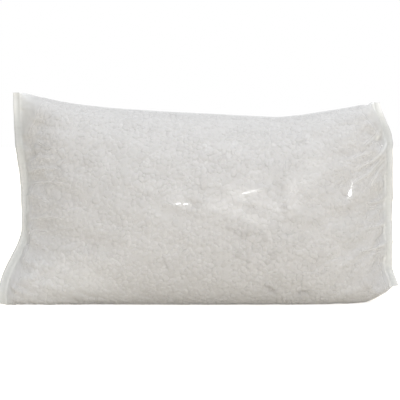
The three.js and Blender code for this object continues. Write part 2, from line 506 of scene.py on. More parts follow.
@dataclass(frozen=True)
class Inflation:
    """A cloth simulation that fills the lay-flat tube while its seals are drawn to where they end."""

    slack: float = 1.02
    frames: int = 32
    draw_frames: int = 14
    pressure: float = 8.0
    vertex_mass: float = 0.0005
    stretch: float = 80.0
    shear: float = 10.0
    bending: float = 0.004
    start_gap: float = 0.020
    unevenness: float = 0.0010
    uneven_blur: float = 1.6
    quality: int = 6
    damping: float = 5.0
    bending_damping: float = 0.5
    air_damping: float = 2.0
    seed: int = 3

    def run(self, tube: Tube, pinned: np.ndarray) -> np.ndarray:
        """Inflate the tube.

        Args:
            tube: The tube, whose rings give the pinned points their final places.
            pinned: Mask of shape (sections, ring) of the points that are drawn there.

        Returns:
            The inflated rings.
        """
        middle = (tube.rings[..., 2].max() + tube.rings[..., 2].min()) / 2
        start = tube.open_slightly(tube.lay_flat(middle) * [self.slack, 1.0, 1.0], self.start_gap)
        noise = blur(np.random.default_rng(self.seed).standard_normal(start.shape), self.uneven_blur)
        start[1:-1, :, 1] += noise[1:-1, :, 1] * self.unevenness / noise.std()
        for end in (0, -1):
            start[end, :, 1] = 0.0
        net = RingNet.sewn(start.shape[0], start.shape[1])
        piece = net.new_object("lay_flat_tube", net.gather(start))
        target = start.copy()
        target[pinned] = tube.rings[pinned]
        self._drive(piece, net, net.gather(target), net.gather(pinned[..., None])[:, 0])
        settled = piece.evaluated_get(bpy.context.evaluated_depsgraph_get())
        flat = np.empty(3 * net.count)
        settled.data.vertices.foreach_get("co", flat)
        bpy.data.objects.remove(piece)
        return flat.reshape(-1, 3)[net.index]

    def _drive(self, piece: bpy.types.Object, net: "RingNet", target: np.ndarray, held: np.ndarray) -> None:
        """Add the cloth and step it through its frames.

        Args:
            piece: The lay-flat tube.
            net: Its net of points.
            target: Final places of the held points.
            held: Mask of the held points.
        """
        piece.shape_key_add(name="Basis")
        drawn = piece.shape_key_add(name="drawn_in")
        drawn.data.foreach_set("co", target.ravel())
        for value, frame in ((0.0, 1), (1.0, self.draw_frames)):
            drawn.value = value
            drawn.keyframe_insert("value", frame=frame)
        group = piece.vertex_groups.new(name="seals")
        group.add([int(i) for i in np.flatnonzero(held)], 1.0, "REPLACE")
        cloth = piece.modifiers.new("film", "CLOTH")
        film = cloth.settings
        film.quality = self.quality
        film.mass = self.vertex_mass
        film.tension_stiffness = film.compression_stiffness = self.stretch
        film.shear_stiffness = self.shear
        film.bending_stiffness = self.bending
        film.tension_damping = film.compression_damping = film.shear_damping = self.damping
        film.bending_damping = self.bending_damping
        film.air_damping = self.air_damping
        film.use_pressure = True
        film.uniform_pressure_force = self.pressure
        film.effector_weights.gravity = 0.0
        film.vertex_group_mass = group.name
        cloth.collision_settings.use_collision = False
        cloth.point_cache.frame_end = self.frames
        scene = bpy.context.scene
        scene.frame_start, scene.frame_end = 1, self.frames
        for frame in range(1, self.frames + 1):
            scene.frame_set(frame)
        LOG.info("inflated %d points over %d frames", net.count, self.frames)


@dataclass
class RingNet:
    """A net of faces over rings of points, closed at both ends."""

    index: np.ndarray
    count: int
    faces: np.ndarray
    loop_cells: np.ndarray

    @classmethod
    def sewn(cls, sections: int, ring: int) -> "RingNet":
        """A net whose front and back share their points in the first and last ring, as a seal does.

        Args:
            sections: Number of rings.
            ring: Points in a ring.

        Returns:
            The net.
        """
        index = np.arange(sections * ring).reshape(sections, ring)
        mirrored = (ring - np.arange(ring)) % ring
        back = np.arange(ring // 2 + 1, ring)
        for end in (0, sections - 1):
            index[end, back] = index[end, mirrored[back]]
        kept, renumbered = np.unique(index, return_inverse=True)
        index = renumbered.reshape(sections, ring)
        return cls(index, len(kept), *cls._cells(index))

    @classmethod
    def capped(cls, sections: int, ring: int) -> "RingNet":
        """A net whose end rings stay flat loops, each closed from front to back between its folds.

        Args:
            sections: Number of rings.
            ring: Points in a ring.

        Returns:
            The net.
        """
        index = np.arange(sections * ring).reshape(sections, ring)
        faces, cells = cls._cells(index)
        steps = np.arange(1, ring // 2 - 1)
        strips = []
        for end, turn in ((0, 1), (sections - 1, -1)):
            strip = np.stack([steps, steps + 1, ring - steps - 1, ring - steps], -1)
            strips.append(index[end, strip][:, ::turn])
        caps = np.concatenate(strips)
        cap_cells = np.zeros((len(caps), 4, 2))
        return cls(index, index.size, np.concatenate([faces, caps]), np.concatenate([cells, cap_cells]))

    @staticmethod
    def _cells(index: np.ndarray) -> tuple[np.ndarray, np.ndarray]:
        """Quads between neighbouring rings, and each corner's unwrapped place in the grid.

        Args:
            index: Point numbers of shape (sections, ring).

        Returns:
            Faces of shape (cells, 4), and grid places of shape (cells, 4, 2).
        """
        sections, ring = index.shape
        i, j = np.meshgrid(np.arange(sections - 1), np.arange(ring), indexing="ij")
        rows = np.stack([i, i + 1, i + 1, i], -1).reshape(-1, 4)
        columns = np.stack([j, j, j + 1, j + 1], -1).reshape(-1, 4)
        return index[rows, columns % ring], np.stack([rows, columns], -1).astype(float)

    def gather(self, values: np.ndarray) -> np.ndarray:
        """Values of the net's points, from a field on its rings.

        Args:
            values: Field of shape (sections, ring, parts).

        Returns:
            Rows of shape (points, parts).
        """
        rows = np.zeros((self.count, values.shape[-1]), values.dtype)
        rows[self.index.ravel()] = values.reshape(-1, values.shape[-1])
        return rows

    def new_object(self, name: str, points: np.ndarray) -> bpy.types.Object:
        """Make a smooth-shaded mesh object of the net.

        Args:
            name: Name of the object and its mesh.
            points: Positions of the net's points.

        Returns:
            The object, linked to the scene.
        """
        return mesh_object(name, points, self.faces)


def mesh_object(name: str, points: np.ndarray, faces: np.ndarray) -> bpy.types.Object:
    """Make a smooth-shaded mesh object from arrays.

    Args:
        name: Name of the object and its mesh.
        points: Positions of shape (points, 3).
        faces: Point numbers of shape (faces, 3) or (faces, 4).

    Returns:
        The object, linked to the scene.
    """
    mesh = bpy.data.meshes.new(name)
    sides = faces.shape[1]
    mesh.vertices.add(len(points))
    mesh.vertices.foreach_set("co", np.ascontiguousarray(points, dtype=np.float32).ravel())
    mesh.loops.add(faces.size)
    mesh.loops.foreach_set("vertex_index", np.ascontiguousarray(faces, dtype=np.int32).ravel())
    mesh.polygons.add(len(faces))
    mesh.polygons.foreach_set("loop_start", np.arange(0, faces.size, sides, dtype=np.int32))
    mesh.polygons.foreach_set("use_smooth", np.ones(len(faces), dtype=bool))
    mesh.update(calc_edges=True)
    piece = bpy.data.objects.new(name, mesh)
    bpy.context.scene.collection.objects.link(piece)
    return piece


@dataclass(frozen=True)
class Crease:
    """A fine ridge in the front face between two places (x, z), with a shallow groove on both sides. Its
    ridge is painted whiter as a painted highlight.
    """

    start: tuple[float, float]
    end: tuple[float, float]
    height: float = 0.0009
    width: float = 0.0032
    bow: float = 0.0
    # Whiteness of the painted highlight along the ridge.
    white_and_highlight: float = 0.4
    end_share: float = 0.25
    highlight_sharpness: float = 3.0

    def _across(self, x: np.ndarray, z: np.ndarray) -> tuple[np.ndarray, np.ndarray]:
        """Distance from the crease's line, and how it fades towards both of its ends.

        Args:
            x: Places along the bag.
            z: Heights.

        Returns:
            Squared distances in widths, and shares of the height.
        """
        start, end = np.array(self.start), np.array(self.end)
        run = end - start
        length = float(np.hypot(*run))
        dx, dz = x - start[0], z - start[1]
        t = (dx * run[0] + dz * run[1]) / length ** 2
        aside = (dz * run[0] - dx * run[1]) / length - self.bow * 4.0 * t * (1.0 - t)
        far = np.maximum(0.0, np.abs(t - 0.5) - 0.5) * length
        fade = self.end_share + (1.0 - self.end_share) * smooth(4.0 * np.minimum(t, 1.0 - t))
        return (aside ** 2 + far ** 2) / self.width ** 2, fade

    def rise(self, x: np.ndarray, z: np.ndarray) -> np.ndarray:
        """Height of the ridge: (1 - d) exp(-d), where d is the squared distance in widths.

        Args:
            x: Places along the bag.
            z: Heights.

        Returns:
            Heights along the outward direction.
        """
        d, fade = self._across(x, z)
        return self.height * fade * (1.0 - d) * np.exp(-d)

    def painted_highlight(self, x: np.ndarray, z: np.ndarray) -> np.ndarray:
        """How much whiter the film is painted along the ridge, as a painted highlight.

        Args:
            x: Places along the bag.
            z: Heights.

        Returns:
            Shares from 0 to 1.
        """
        d, fade = self._across(x, z)
        return self.white_and_highlight * fade * np.exp(-self.highlight_sharpness * d)


@dataclass(frozen=True)
class Stroke:
    """One straight part of a glint's outline, between two places (x, z)."""

    start: tuple[float, float]
    end: tuple[float, float]
    half_width: float
    strength: float = 1.0


@dataclass(frozen=True)
class Facet:
    """A small flat place in the front film, turned so that the glint lamp shows in it."""

    place: tuple[float, float]
    half_size: tuple[float, float]
    slant: float
    strokes: tuple[Stroke, ...]

    def weight(self, x: np.ndarray, z: np.ndarray) -> np.ndarray:
        """Share of flatness: a flat-topped bell over an ellipse.

        Args:
            x: Places along the bag.
            z: Heights.

        Returns:
            1 in the middle of the facet and 0 well outside it.
        """
        angle = math.radians(self.slant)
        dx, dz = x - self.place[0], z - self.place[1]
        a = (dx * math.cos(angle) + dz * math.sin(angle)) / self.half_size[0]
        b = (dz * math.cos(angle) - dx * math.sin(angle)) / self.half_size[1]
        return np.exp(-((a * a + b * b) ** 2))

    def flatten(self, points: np.ndarray, eye: np.ndarray, lamp: np.ndarray) -> np.ndarray:
        """Move the film's front points towards the facet's plane, along the bag's depth.

        Args:
            points: Front points of shape (sections, steps, 3).
            eye: Place of the camera.
            lamp: Place of the lamp.

        Returns:
            The moved points.
        """
        near = (points[..., 0] - self.place[0]) ** 2 + (points[..., 2] - self.place[1]) ** 2
        here = points[np.unravel_index(np.argmin(near), near.shape)]
        normal = unit(eye - here) + unit(lamp - here)
        from_here = points - here
        plane = -(from_here[..., 0] * normal[0] + from_here[..., 2] * normal[2]) / normal[1]
        moved = points.copy()
        weight = self.weight(points[..., 0], points[..., 2])
        moved[..., 1] += weight * (plane - from_here[..., 1])
        return moved


# The last number of each crease is the whiteness of its painted highlight.
LEFT_CREASES = (
    Crease((-0.214, 0.176), (-0.178, 0.181), 0.0008, 0.0026, 0.004, 0.24),
    Crease((-0.216, 0.161), (-0.168, 0.168), 0.0009, 0.0026, 0.005, 0.30),
    Crease((-0.215, 0.148), (-0.155, 0.149), 0.0007, 0.0024, 0.004, 0.26),
    Crease((-0.217, 0.133), (-0.180, 0.127), 0.0006, 0.0024, 0.002, 0.18),
    Crease((-0.214, 0.104), (-0.162, 0.110), 0.0008, 0.0026, 0.003, 0.32),
    Crease((-0.217, 0.093), (-0.184, 0.090), 0.0007, 0.0024, 0.000, 0.22),
    Crease((-0.206, 0.206), (-0.160, 0.189), 0.0008, 0.0028, -0.003, 0.16),
    Crease((-0.152, 0.022), (-0.122, 0.010), -0.0016, 0.0030, -0.003, 0.0),
    Crease((-0.226, 0.034), (-0.184, 0.052), 0.0012, 0.0060, -0.005, 0.12),
)
RIGHT_CREASES = (
    Crease((0.236, 0.206), (0.204, 0.174), 0.0014, 0.0038, 0.004, 0.50),
    Crease((0.233, 0.195), (0.178, 0.150), 0.0015, 0.0030, 0.007, 0.40),
    Crease((0.234, 0.186), (0.199, 0.156), 0.0010, 0.0024, 0.002, 0.30),
    Crease((0.231, 0.175), (0.207, 0.144), 0.0011, 0.0028, -0.002, 0.42),
    Crease((0.212, 0.180), (0.188, 0.169), 0.0010, 0.0026, 0.001, 0.40),
    Crease((0.214, 0.188), (0.183, 0.181), 0.0010, 0.0028, -0.002, 0.34),
    Crease((0.226, 0.222), (0.196, 0.196), 0.0013, 0.0046, 0.004, 0.28),
    Crease((0.222, 0.209), (0.216, 0.203), 0.0016, 0.0046, 0.0, 0.80),
    Crease((0.236, 0.130), (0.200, 0.127), 0.0009, 0.0026, 0.002, 0.26),
    Crease((0.236, 0.119), (0.204, 0.121), 0.0008, 0.0024, 0.0, 0.20),
    Crease((0.236, 0.099), (0.199, 0.096), 0.0008, 0.0024, 0.0, 0.22),
    Crease((0.236, 0.076), (0.192, 0.069), 0.0011, 0.0026, 0.003, 0.45),
    Crease((0.234, 0.065), (0.206, 0.062), 0.0008, 0.0024, 0.0, 0.24),
    Crease((0.228, 0.012), (0.206, 0.030), 0.0012, 0.0040, 0.003, 0.16),
)
DIP_CREASES = (
    Crease((0.080, 0.196), (0.084, 0.156), 0.0007, 0.0026, 0.001, 0.16),
    Crease((0.090, 0.190), (0.094, 0.160), 0.0006, 0.0024, 0.0, 0.12),
    Crease((0.101, 0.195), (0.104, 0.150), 0.0007, 0.0026, 0.001, 0.16),
    Crease((0.112, 0.188), (0.113, 0.162), 0.0005, 0.0024, 0.0, 0.10),
    Crease((0.127, 0.184), (0.124, 0.158), 0.0005, 0.0026, 0.0, 0.12),
)
FOOT_CREASES = (
    Crease((0.079, 0.026), (0.091, 0.016), -0.0034, 0.0034, 0.001, 0.0),
    Crease((0.118, 0.015), (0.132, 0.018), -0.0026, 0.0030, 0.001, 0.0),
)
GLINTS = (
    Facet(
        (-0.0230, 0.1290),
        (0.0210, 0.0070),
        0.0,
        (
            Stroke((-0.0385, 0.1306), (-0.0322, 0.1281), 0.0005, 0.7),
            Stroke((-0.0322, 0.1281), (-0.0236, 0.1300), 0.0005, 0.8),
            Stroke((-0.0200, 0.1286), (-0.0105, 0.1298), 0.0004, 0.8),
        ),
    ),
    Facet(
        (0.0625, 0.1435),
        (0.0200, 0.0075),
        12.0,
        (
            Stroke((0.0505, 0.1413), (0.0600, 0.1430), 0.0006, 0.5),
            Stroke((0.0560, 0.1425), (0.0750, 0.1465), 0.0004, 0.4),
            Stroke((0.0595, 0.1450), (0.0640, 0.1460), 0.0003, 0.5),
        ),
    ),
    Facet(
        (0.1820, 0.1415),
        (0.0150, 0.0090),
        80.0,
        (
            Stroke((0.1850, 0.1525), (0.1836, 0.1440), 0.0010),
            Stroke((0.1836, 0.1440), (0.1805, 0.1345), 0.0021),
            Stroke((0.1822, 0.1400), (0.1864, 0.1408), 0.0008),
            Stroke((0.1798, 0.1350), (0.1772, 0.1318), 0.0008),
        ),
    ),
)


@dataclass
class FilmShell:
    """The clear film: its wrinkled surface and its two end seals."""

    form: BagForm
    eye: np.ndarray
    lamp: np.ndarray
    inflation: Inflation = Inflation()
    cell: float = 0.005
    fine_cell: float = 0.00185
    form_blur: float = 0.014
    middle_share: float = 0.14
    end_share: float = 0.62
    end_band: float = 0.110
    corner_share: float = 0.35
    corner_band: float = 0.22
    creases: tuple[Crease, ...] = LEFT_CREASES + RIGHT_CREASES + DIP_CREASES + FOOT_CREASES
    glints: tuple[Facet, ...] = GLINTS
    seal_thickness: float = 0.0004
    seal_bend: float = 34.0
    seal_reach: float = 0.0095
    seal_columns: int = 3
    seal_curl: float = 0.0012
    seal_curls: float = 9.0
    curl_shift: float = 3.0
    seal_ripple: float = 0.0008
    seal_ripples: float = 23.0
    gather_depth: float = 0.00045
    gather_pitch: float = 0.009
    gather_reach: float = 0.055
    gather_run: int = 12
    gather_start: float = 0.006
    dent_rise: float = 0.002
    nearness_power: float = 1.5
    milk_reach: float = 0.018
    weld_milk: float = 0.9
    weld_fade: float = 0.004
    # Painted light: the upper corners near the seals are painted whiter, where the light from above falls on
    # them.
    upper_place: float = 0.205
    upper_band: float = 0.045
    upper_reach: float = 0.032
    painted_top_light: float = 0.95
    ear_place: tuple[float, float] = (-0.168, 0.022)
    ear_size: tuple[float, float] = (0.046, 0.038)
    ear_rim: float = 1.5
    ear_softness: float = 1.1
    ear_waves: tuple[tuple[float, float, float], ...] = ((0.12, 55.0, 1.0), (0.10, 90.0, -1.4))
    ear_milk: float = 0.02
    ear_white: float = 0.10
    seed: int = 11
    tube: Tube = field(init=False)
    surface: np.ndarray = field(init=False)
    shift: np.ndarray = field(init=False)

    def shape(self, low: np.ndarray, high: np.ndarray) -> None:
        """Work out the film's surface and place it in the frame.

        Args:
            low: Lowest corner of the film's box in the frame.
            high: Highest corner of it.
        """
        self.tube = Tube.lay_out(self.form, self.cell)
        rings = self.tube.rings
        rings = self._wrinkled(rings)
        steps = round(self.tube.flat_width / self.fine_cell)
        sections = round(self.tube.flat_length / self.fine_cell) + 1
        fine = self._gathered(resample(rings, sections, 2 * steps))
        reach = np.array([self.form.seal_width, 0.0, 0.0])
        raw_low = self.tube.rings.min((0, 1)) - reach
        raw_high = self.tube.rings.max((0, 1)) + reach
        self.shift = (low + high - raw_low - raw_high) / 2
        self.shift[2] = low[2] - raw_low[2]
        fine[..., 2] = np.maximum(fine[..., 2], 0.0)
        self.surface = self._creased(fine + self.shift)

    def _wrinkled(self, rings: np.ndarray) -> np.ndarray:
        """Carry the inflated film's wrinkles over to the form: its offset from the form, less its blur.

        Args:
            rings: The form's rings.

        Returns:
            Wrinkled rings.
        """
        pinned = np.zeros(rings.shape[:2], dtype=bool)
        pinned[[0, -1]] = True
        top = self.tube.face_steps
        section = int(np.argmin(np.abs(rings[:, top, 0] - self.form.dip_x)))
        pinned[section - 1:section + 2, top - 1:top + 2] = True
        target = Tube(rings.copy(), self.tube.flat_length, self.tube.flat_width)
        target.rings[section - 1:section + 2, top - 1:top + 2, 2] += self.dent_rise
        offset = self.inflation.run(target, pinned) - rings
        fine = offset - blur(offset, self.form_blur / self.cell)
        sections = rings.shape[0]
        from_seal = self.cell * np.minimum(np.arange(sections), sections - 1 - np.arange(sections))
        near_end = smooth(1.0 - from_seal / self.end_band)
        share = self.middle_share + (self.end_share - self.middle_share) * near_end
        steps = self.tube.face_steps
        from_fold = np.abs((np.arange(rings.shape[1]) + steps / 2) % steps - steps / 2) / steps
        calm = self.corner_share + (1.0 - self.corner_share) * smooth(from_fold / self.corner_band)
        return rings + (share[:, None] * calm)[..., None] * fine

    def _creased(self, surface: np.ndarray) -> np.ndarray:
        """Add the named creases and the glinting facets to the front face.

        Args:
            surface: The film's surface in the frame.

        Returns:
            The surface with them.
        """
        normals = tube_normals(surface)
        front = slice(1, surface.shape[1] // 2)
        x, z = surface[:, front, 0], surface[:, front, 2]
        rise = sum(crease.rise(x, z) for crease in self.creases)
        surface = surface.copy()
        surface[:, front] += rise[..., None] * normals[:, front]
        for facet in self.glints:
            surface[:, front] = facet.flatten(surface[:, front], self.eye, self.lamp)
        return surface

    def _gathered(self, rings: np.ndarray) -> np.ndarray:
        """Add fine gathers that start at each seal and fade into the body.

        Their height is a row of noise round the bag, blurred to the gathers' pitch and drawn out lengthwise.

        Args:
            rings: Rings of the film at the fine cell size.

        Returns:
            Rings with the gathers added along their normals.
        """
        sections, ring, _ = rings.shape
        rng = np.random.default_rng(self.seed)
        cell = self.fine_cell
        drawn = rng.standard_normal((sections // self.gather_run + 2, ring))
        rows = blur_ring(drawn, self.gather_pitch / cell / 4)[..., None]
        places = np.linspace(0.0, rows.shape[0] - 1.001, sections)
        first = places.astype(int)
        blend = smooth(places - first)[:, None, None]
        noise = rows[first] * (1.0 - blend) + rows[first + 1] * blend
        noise /= noise.std()
        from_seal = cell * np.minimum(np.arange(sections), sections - 1 - np.arange(sections))
        fade = np.exp(-((from_seal / self.gather_reach) ** 2)) * smooth(from_seal / self.gather_start)
        height = self.gather_depth * noise[..., 0] * fade[:, None]
        return rings + height[..., None] * tube_normals(rings)

    def build(self) -> bpy.types.Object:
        """Make the film's mesh, with the welded strips added past both end rings.

        Returns:
            The film's object, with a UV map in metres of lay-flat film.
        """
        left = self._seal(self.surface[0], -1.0)
        right = self._seal(self.surface[-1], 1.0)
        body = self.surface[1:-1]
        rings = np.concatenate([left[::-1], body, right])
        rings[..., 2] = np.maximum(rings[..., 2], self.shift[2])
        net = RingNet.capped(rings.shape[0], rings.shape[1])
        piece = net.new_object("clear_film", net.gather(rings))
        film_uv = net.loop_cells * self.fine_cell
        layer = piece.data.uv_layers.new(name="film")
        layer.data.foreach_set("uv", film_uv.reshape(-1, 2).astype(np.float32).ravel())
        # The second attribute carries painted highlights along the creases and painted light on the upper
        # corners, besides the paler left ear.
        for name, values in (("milk", self._milk(rings)), ("whitened_and_highlight", self._whitened_and_highlight(rings))):
            marks = piece.data.attributes.new(name, "FLOAT", "POINT")
            marks.data.foreach_set("value", net.gather(values[..., None])[:, 0].astype(np.float32))
        LOG.info("film: %d faces", len(net.faces))
        return piece

    def _milk(self, rings: np.ndarray) -> np.ndarray:
        """How milky the film looks: most in the welds, then where it is gathered, then in the left ear.

        Args:
            rings: All of the film's rings.

        Returns:
            Shares of shape (sections, ring): up to 1 in the film and more than 1 in the welds.
        """
        from_edge = self._from_edge(rings)
        inside = self.fine_cell * (from_edge - self.seal_columns)
        weld = np.where(inside <= 0.0, from_edge / self.seal_columns, np.exp(-inside / self.weld_fade))
        gathered = self._near_seal(rings, self.milk_reach)
        return np.maximum(gathered, self.ear_milk * self._ear(rings)) + self.weld_milk * weld

    @staticmethod
    def _from_edge(rings: np.ndarray) -> np.ndarray:
        """How many rings each one is from the nearer end, as a column."""
        steps = np.arange(rings.shape[0])
        return np.minimum(steps, steps[::-1])[:, None]

    def _near_seal(self, rings: np.ndarray, reach: float) -> np.ndarray:
        """Nearness to the seals: 1 at both ends, and fading into the body over a reach."""
        return np.exp(-((self.fine_cell * self._from_edge(rings) / reach) ** self.nearness_power))

    def _ear(self, rings: np.ndarray) -> np.ndarray:
        """Where the front film stands off the filling, in the lower left ear: a lens with a wavy edge.

        Args:
            rings: All of the film's rings.

        Returns:
            Shares from 0 to 1, of shape (sections, ring).
        """
        x, y, z = np.moveaxis(rings, -1, 0)
        run = (x - self.ear_place[0]) / self.ear_size[0]
        rise = (z - self.ear_place[1]) / self.ear_size[1]
        edge = sum(size * np.sin(pitch * (x + slope * z)) for size, pitch, slope in self.ear_waves)
        inside = self.ear_rim + edge - np.hypot(run, rise)
        return np.where(y < 0.0, smooth(inside / self.ear_softness), 0.0)

    def _whitened_and_highlight(self, rings: np.ndarray) -> np.ndarray:
        """Where the film is painted whiter: painted highlights along the creases, painted light on the upper
        corners near the seals, and the paler lower left ear.

        Args:
            rings: All of the film's rings.

        Returns:
            Shares from 0 to 1, of shape (sections, ring).
        """
        x, y, z = np.moveaxis(rings, -1, 0)
        marks = np.max([crease.painted_highlight(x, z) for crease in self.creases], axis=0)
        # Painted light on the upper corners, which face the light from above.
        corner = self._near_seal(rings, self.upper_reach) * smooth((z - self.upper_place) / self.upper_band)
        pale_and_top_light = np.maximum(self.ear_white * self._ear(rings), self.painted_top_light * corner)
        return np.maximum(np.where(y < 0.0, marks, 0.0), pale_and_top_light)

    def _seal(self, ring: np.ndarray, outward: float) -> np.ndarray:
        """Rings of one welded strip, from the film's last ring to the strip's edge.

        Args:
            ring: The film's end ring, whose front and back lie on each other.
            outward: -1 at the left end and 1 at the right one.

        Returns:
            Rings of shape (columns + 1, ring, 3), the first one at the film's last ring.
        """
        count = ring.shape[0]
        turn = 2.0 * np.pi * np.arange(count) / count
        part = np.array([0.0, -1.0, 0.0]) * (self.seal_thickness / 2 * np.sin(turn))[:, None]
        steps = np.linspace(0.0, 1.0, self.seal_columns + 1)[:, None, None]
        share = np.minimum(turn, 2.0 * np.pi - turn)[None, :, None]
        curl = self.seal_curl * np.sin(self.seal_curls * share + self.curl_shift * outward)
        curl = curl + self.seal_ripple * np.sin(self.seal_ripples * share)
        bend = math.radians(self.seal_bend)
        reach = np.array([outward * math.cos(bend), math.sin(bend), 0.0]) * self.seal_reach
        return ring + part + steps * reach + steps * curl * np.array([0.0, 1.0, 0.0])


def ball_templates(count: int, rng: np.random.Generator, roughness: float) -> tuple[np.ndarray, np.ndarray]:
    """Lumpy balls: an icosahedron with its edges halved, whose radius varies as a sum of soft waves.

    Args:
        count: How many different balls.
        rng: Source of the waves.
        roughness: Height of the waves, as a share of the radius.

    Returns:
        Points of shape (count, 42, 3) at a radius near 1, and triangles of shape (80, 3).
    """
    golden = (1.0 + math.sqrt(5.0)) / 2.0
    corners = []
    for a in (-1.0, 1.0):
        for b in (-golden, golden):
            corners += [(0.0, a, b), (a, b, 0.0), (b, 0.0, a)]
    points = unit(np.array(corners))
    distances = np.linalg.norm(points[:, None] - points[None], axis=-1)
    edge = np.min(distances[distances > 0.1])
    near = np.abs(distances - edge) < 0.01
    triangles = [
        (i, j, k)
        for i in range(12)
        for j in range(i + 1, 12)
        for k in range(j + 1, 12)
        if near[i, j] and near[j, k] and near[i, k]
    ]
    faces = np.array(triangles)
    normals = np.cross(points[faces[:, 1]] - points[faces[:, 0]], points[faces[:, 2]] - points[faces[:, 0]])
    inward = (normals * points[faces[:, 0]]).sum(-1) < 0
    faces[inward] = faces[inward][:, ::-1]
    pairs = np.sort(np.concatenate([faces[:, [0, 1]], faces[:, [1, 2]], faces[:, [2, 0]]]), 1)
    edges, place = np.unique(pairs, axis=0, return_inverse=True)
    place = place.reshape(3, -1) + len(points)
    halves = unit(points[edges[:, 0]] + points[edges[:, 1]])
    a, b, c = faces.T
    ab, bc, ca = place
    split = [(a, ab, ca), (b, bc, ab), (c, ca, bc), (ab, bc, ca)]
    fine_faces = np.concatenate([np.stack(part, -1) for part in split])
    sphere = np.concatenate([points, halves])
    broadest, narrowest = BALL_WAVE_RANGE
    waves = unit(rng.standard_normal((count, BALL_WAVES, 3)))
    waves = waves * rng.uniform(broadest, narrowest, (count, BALL_WAVES, 1))
    phase = rng.uniform(0.0, 2.0 * np.pi, (count, BALL_WAVES, 1))
    swell = np.cos(np.einsum("kwd,vd->kwv", waves, sphere) + phase).mean(1)
    radius = 1.0 + roughness * swell / swell.std()
    return sphere[None] * radius[..., None], fine_faces


def random_turns(count: int, rng: np.random.Generator) -> np.ndarray:
    """Rotation matrices spread evenly over all directions, from random unit quaternions.

    Args:
        count: How many.
        rng: Source of the numbers.

    Returns:
        Matrices of shape (count, 3, 3).
    """
    w, x, y, z = unit(rng.standard_normal((count, 4))).T
    rows = [
        [1 - 2 * (y * y + z * z), 2 * (x * y - w * z), 2 * (x * z + w * y)],
        [2 * (x * y + w * z), 1 - 2 * (x * x + z * z), 2 * (y * z - w * x)],
        [2 * (x * z - w * y), 2 * (y * z + w * x), 1 - 2 * (x * x + y * y)],
    ]
    return np.stack([np.stack(row, -1) for row in rows], 1)


@dataclass(frozen=True)
class ShadePatch:
    """A place in the front of the filling whose tone is painted darker, or lighter if its depth is negative.
    Those at the foot are painted shadows in its creases.
    """

    place: tuple[float, float]
    half_size: tuple[float, float]
    depth: float

    def shade(self, points: np.ndarray) -> np.ndarray:
        """Shade at points: a Gaussian over an ellipse, on the front half only.

        Args:
            points: Positions with their three parts on the last axis.

        Returns:
            Shares of the tone to take away, as painted shade.
        """
        run = (points[..., 0] - self.place[0]) / self.half_size[0]
        rise = (points[..., 2] - self.place[1]) / self.half_size[1]
        return np.where(points[..., 1] < 0.0, self.depth * np.exp(-(run * run + rise * rise)), 0.0)


SHADE_PATCHES = (
    ShadePatch((0.053, 0.092), (0.0060, 0.0050), 0.55),
    ShadePatch((0.070, 0.093), (0.0050, 0.0040), 0.30),
    ShadePatch((0.136, 0.109), (0.0070, 0.0050), 0.25),
    ShadePatch((0.124, 0.092), (0.0050, 0.0050), 0.25),
    ShadePatch((0.111, 0.048), (0.0050, 0.0040), 0.30),
    # Painted shadows in the two creases at the foot of the front face.
    ShadePatch((0.085, 0.021), (0.0080, 0.0040), 0.70),
    ShadePatch((0.125, 0.017), (0.0090, 0.0035), 0.55),
    ShadePatch((-0.193, 0.196), (0.0120, 0.0060), 0.35),
    ShadePatch((-0.175, 0.168), (0.0090, 0.0050), 0.30),
    ShadePatch((-0.136, 0.181), (0.0080, 0.0060), 0.25),
    ShadePatch((-0.150, 0.133), (0.0060, 0.0060), 0.22),
    ShadePatch((-0.187, 0.103), (0.0080, 0.0050), 0.25),
    ShadePatch((-0.128, 0.078), (0.0060, 0.0060), 0.22),
    ShadePatch((-0.048, 0.163), (0.0080, 0.0060), 0.20),
    ShadePatch((-0.152, 0.036), (0.0480, 0.0280), -0.60),
    ShadePatch((0.214, 0.022), (0.0300, 0.0220), 0.30),
)


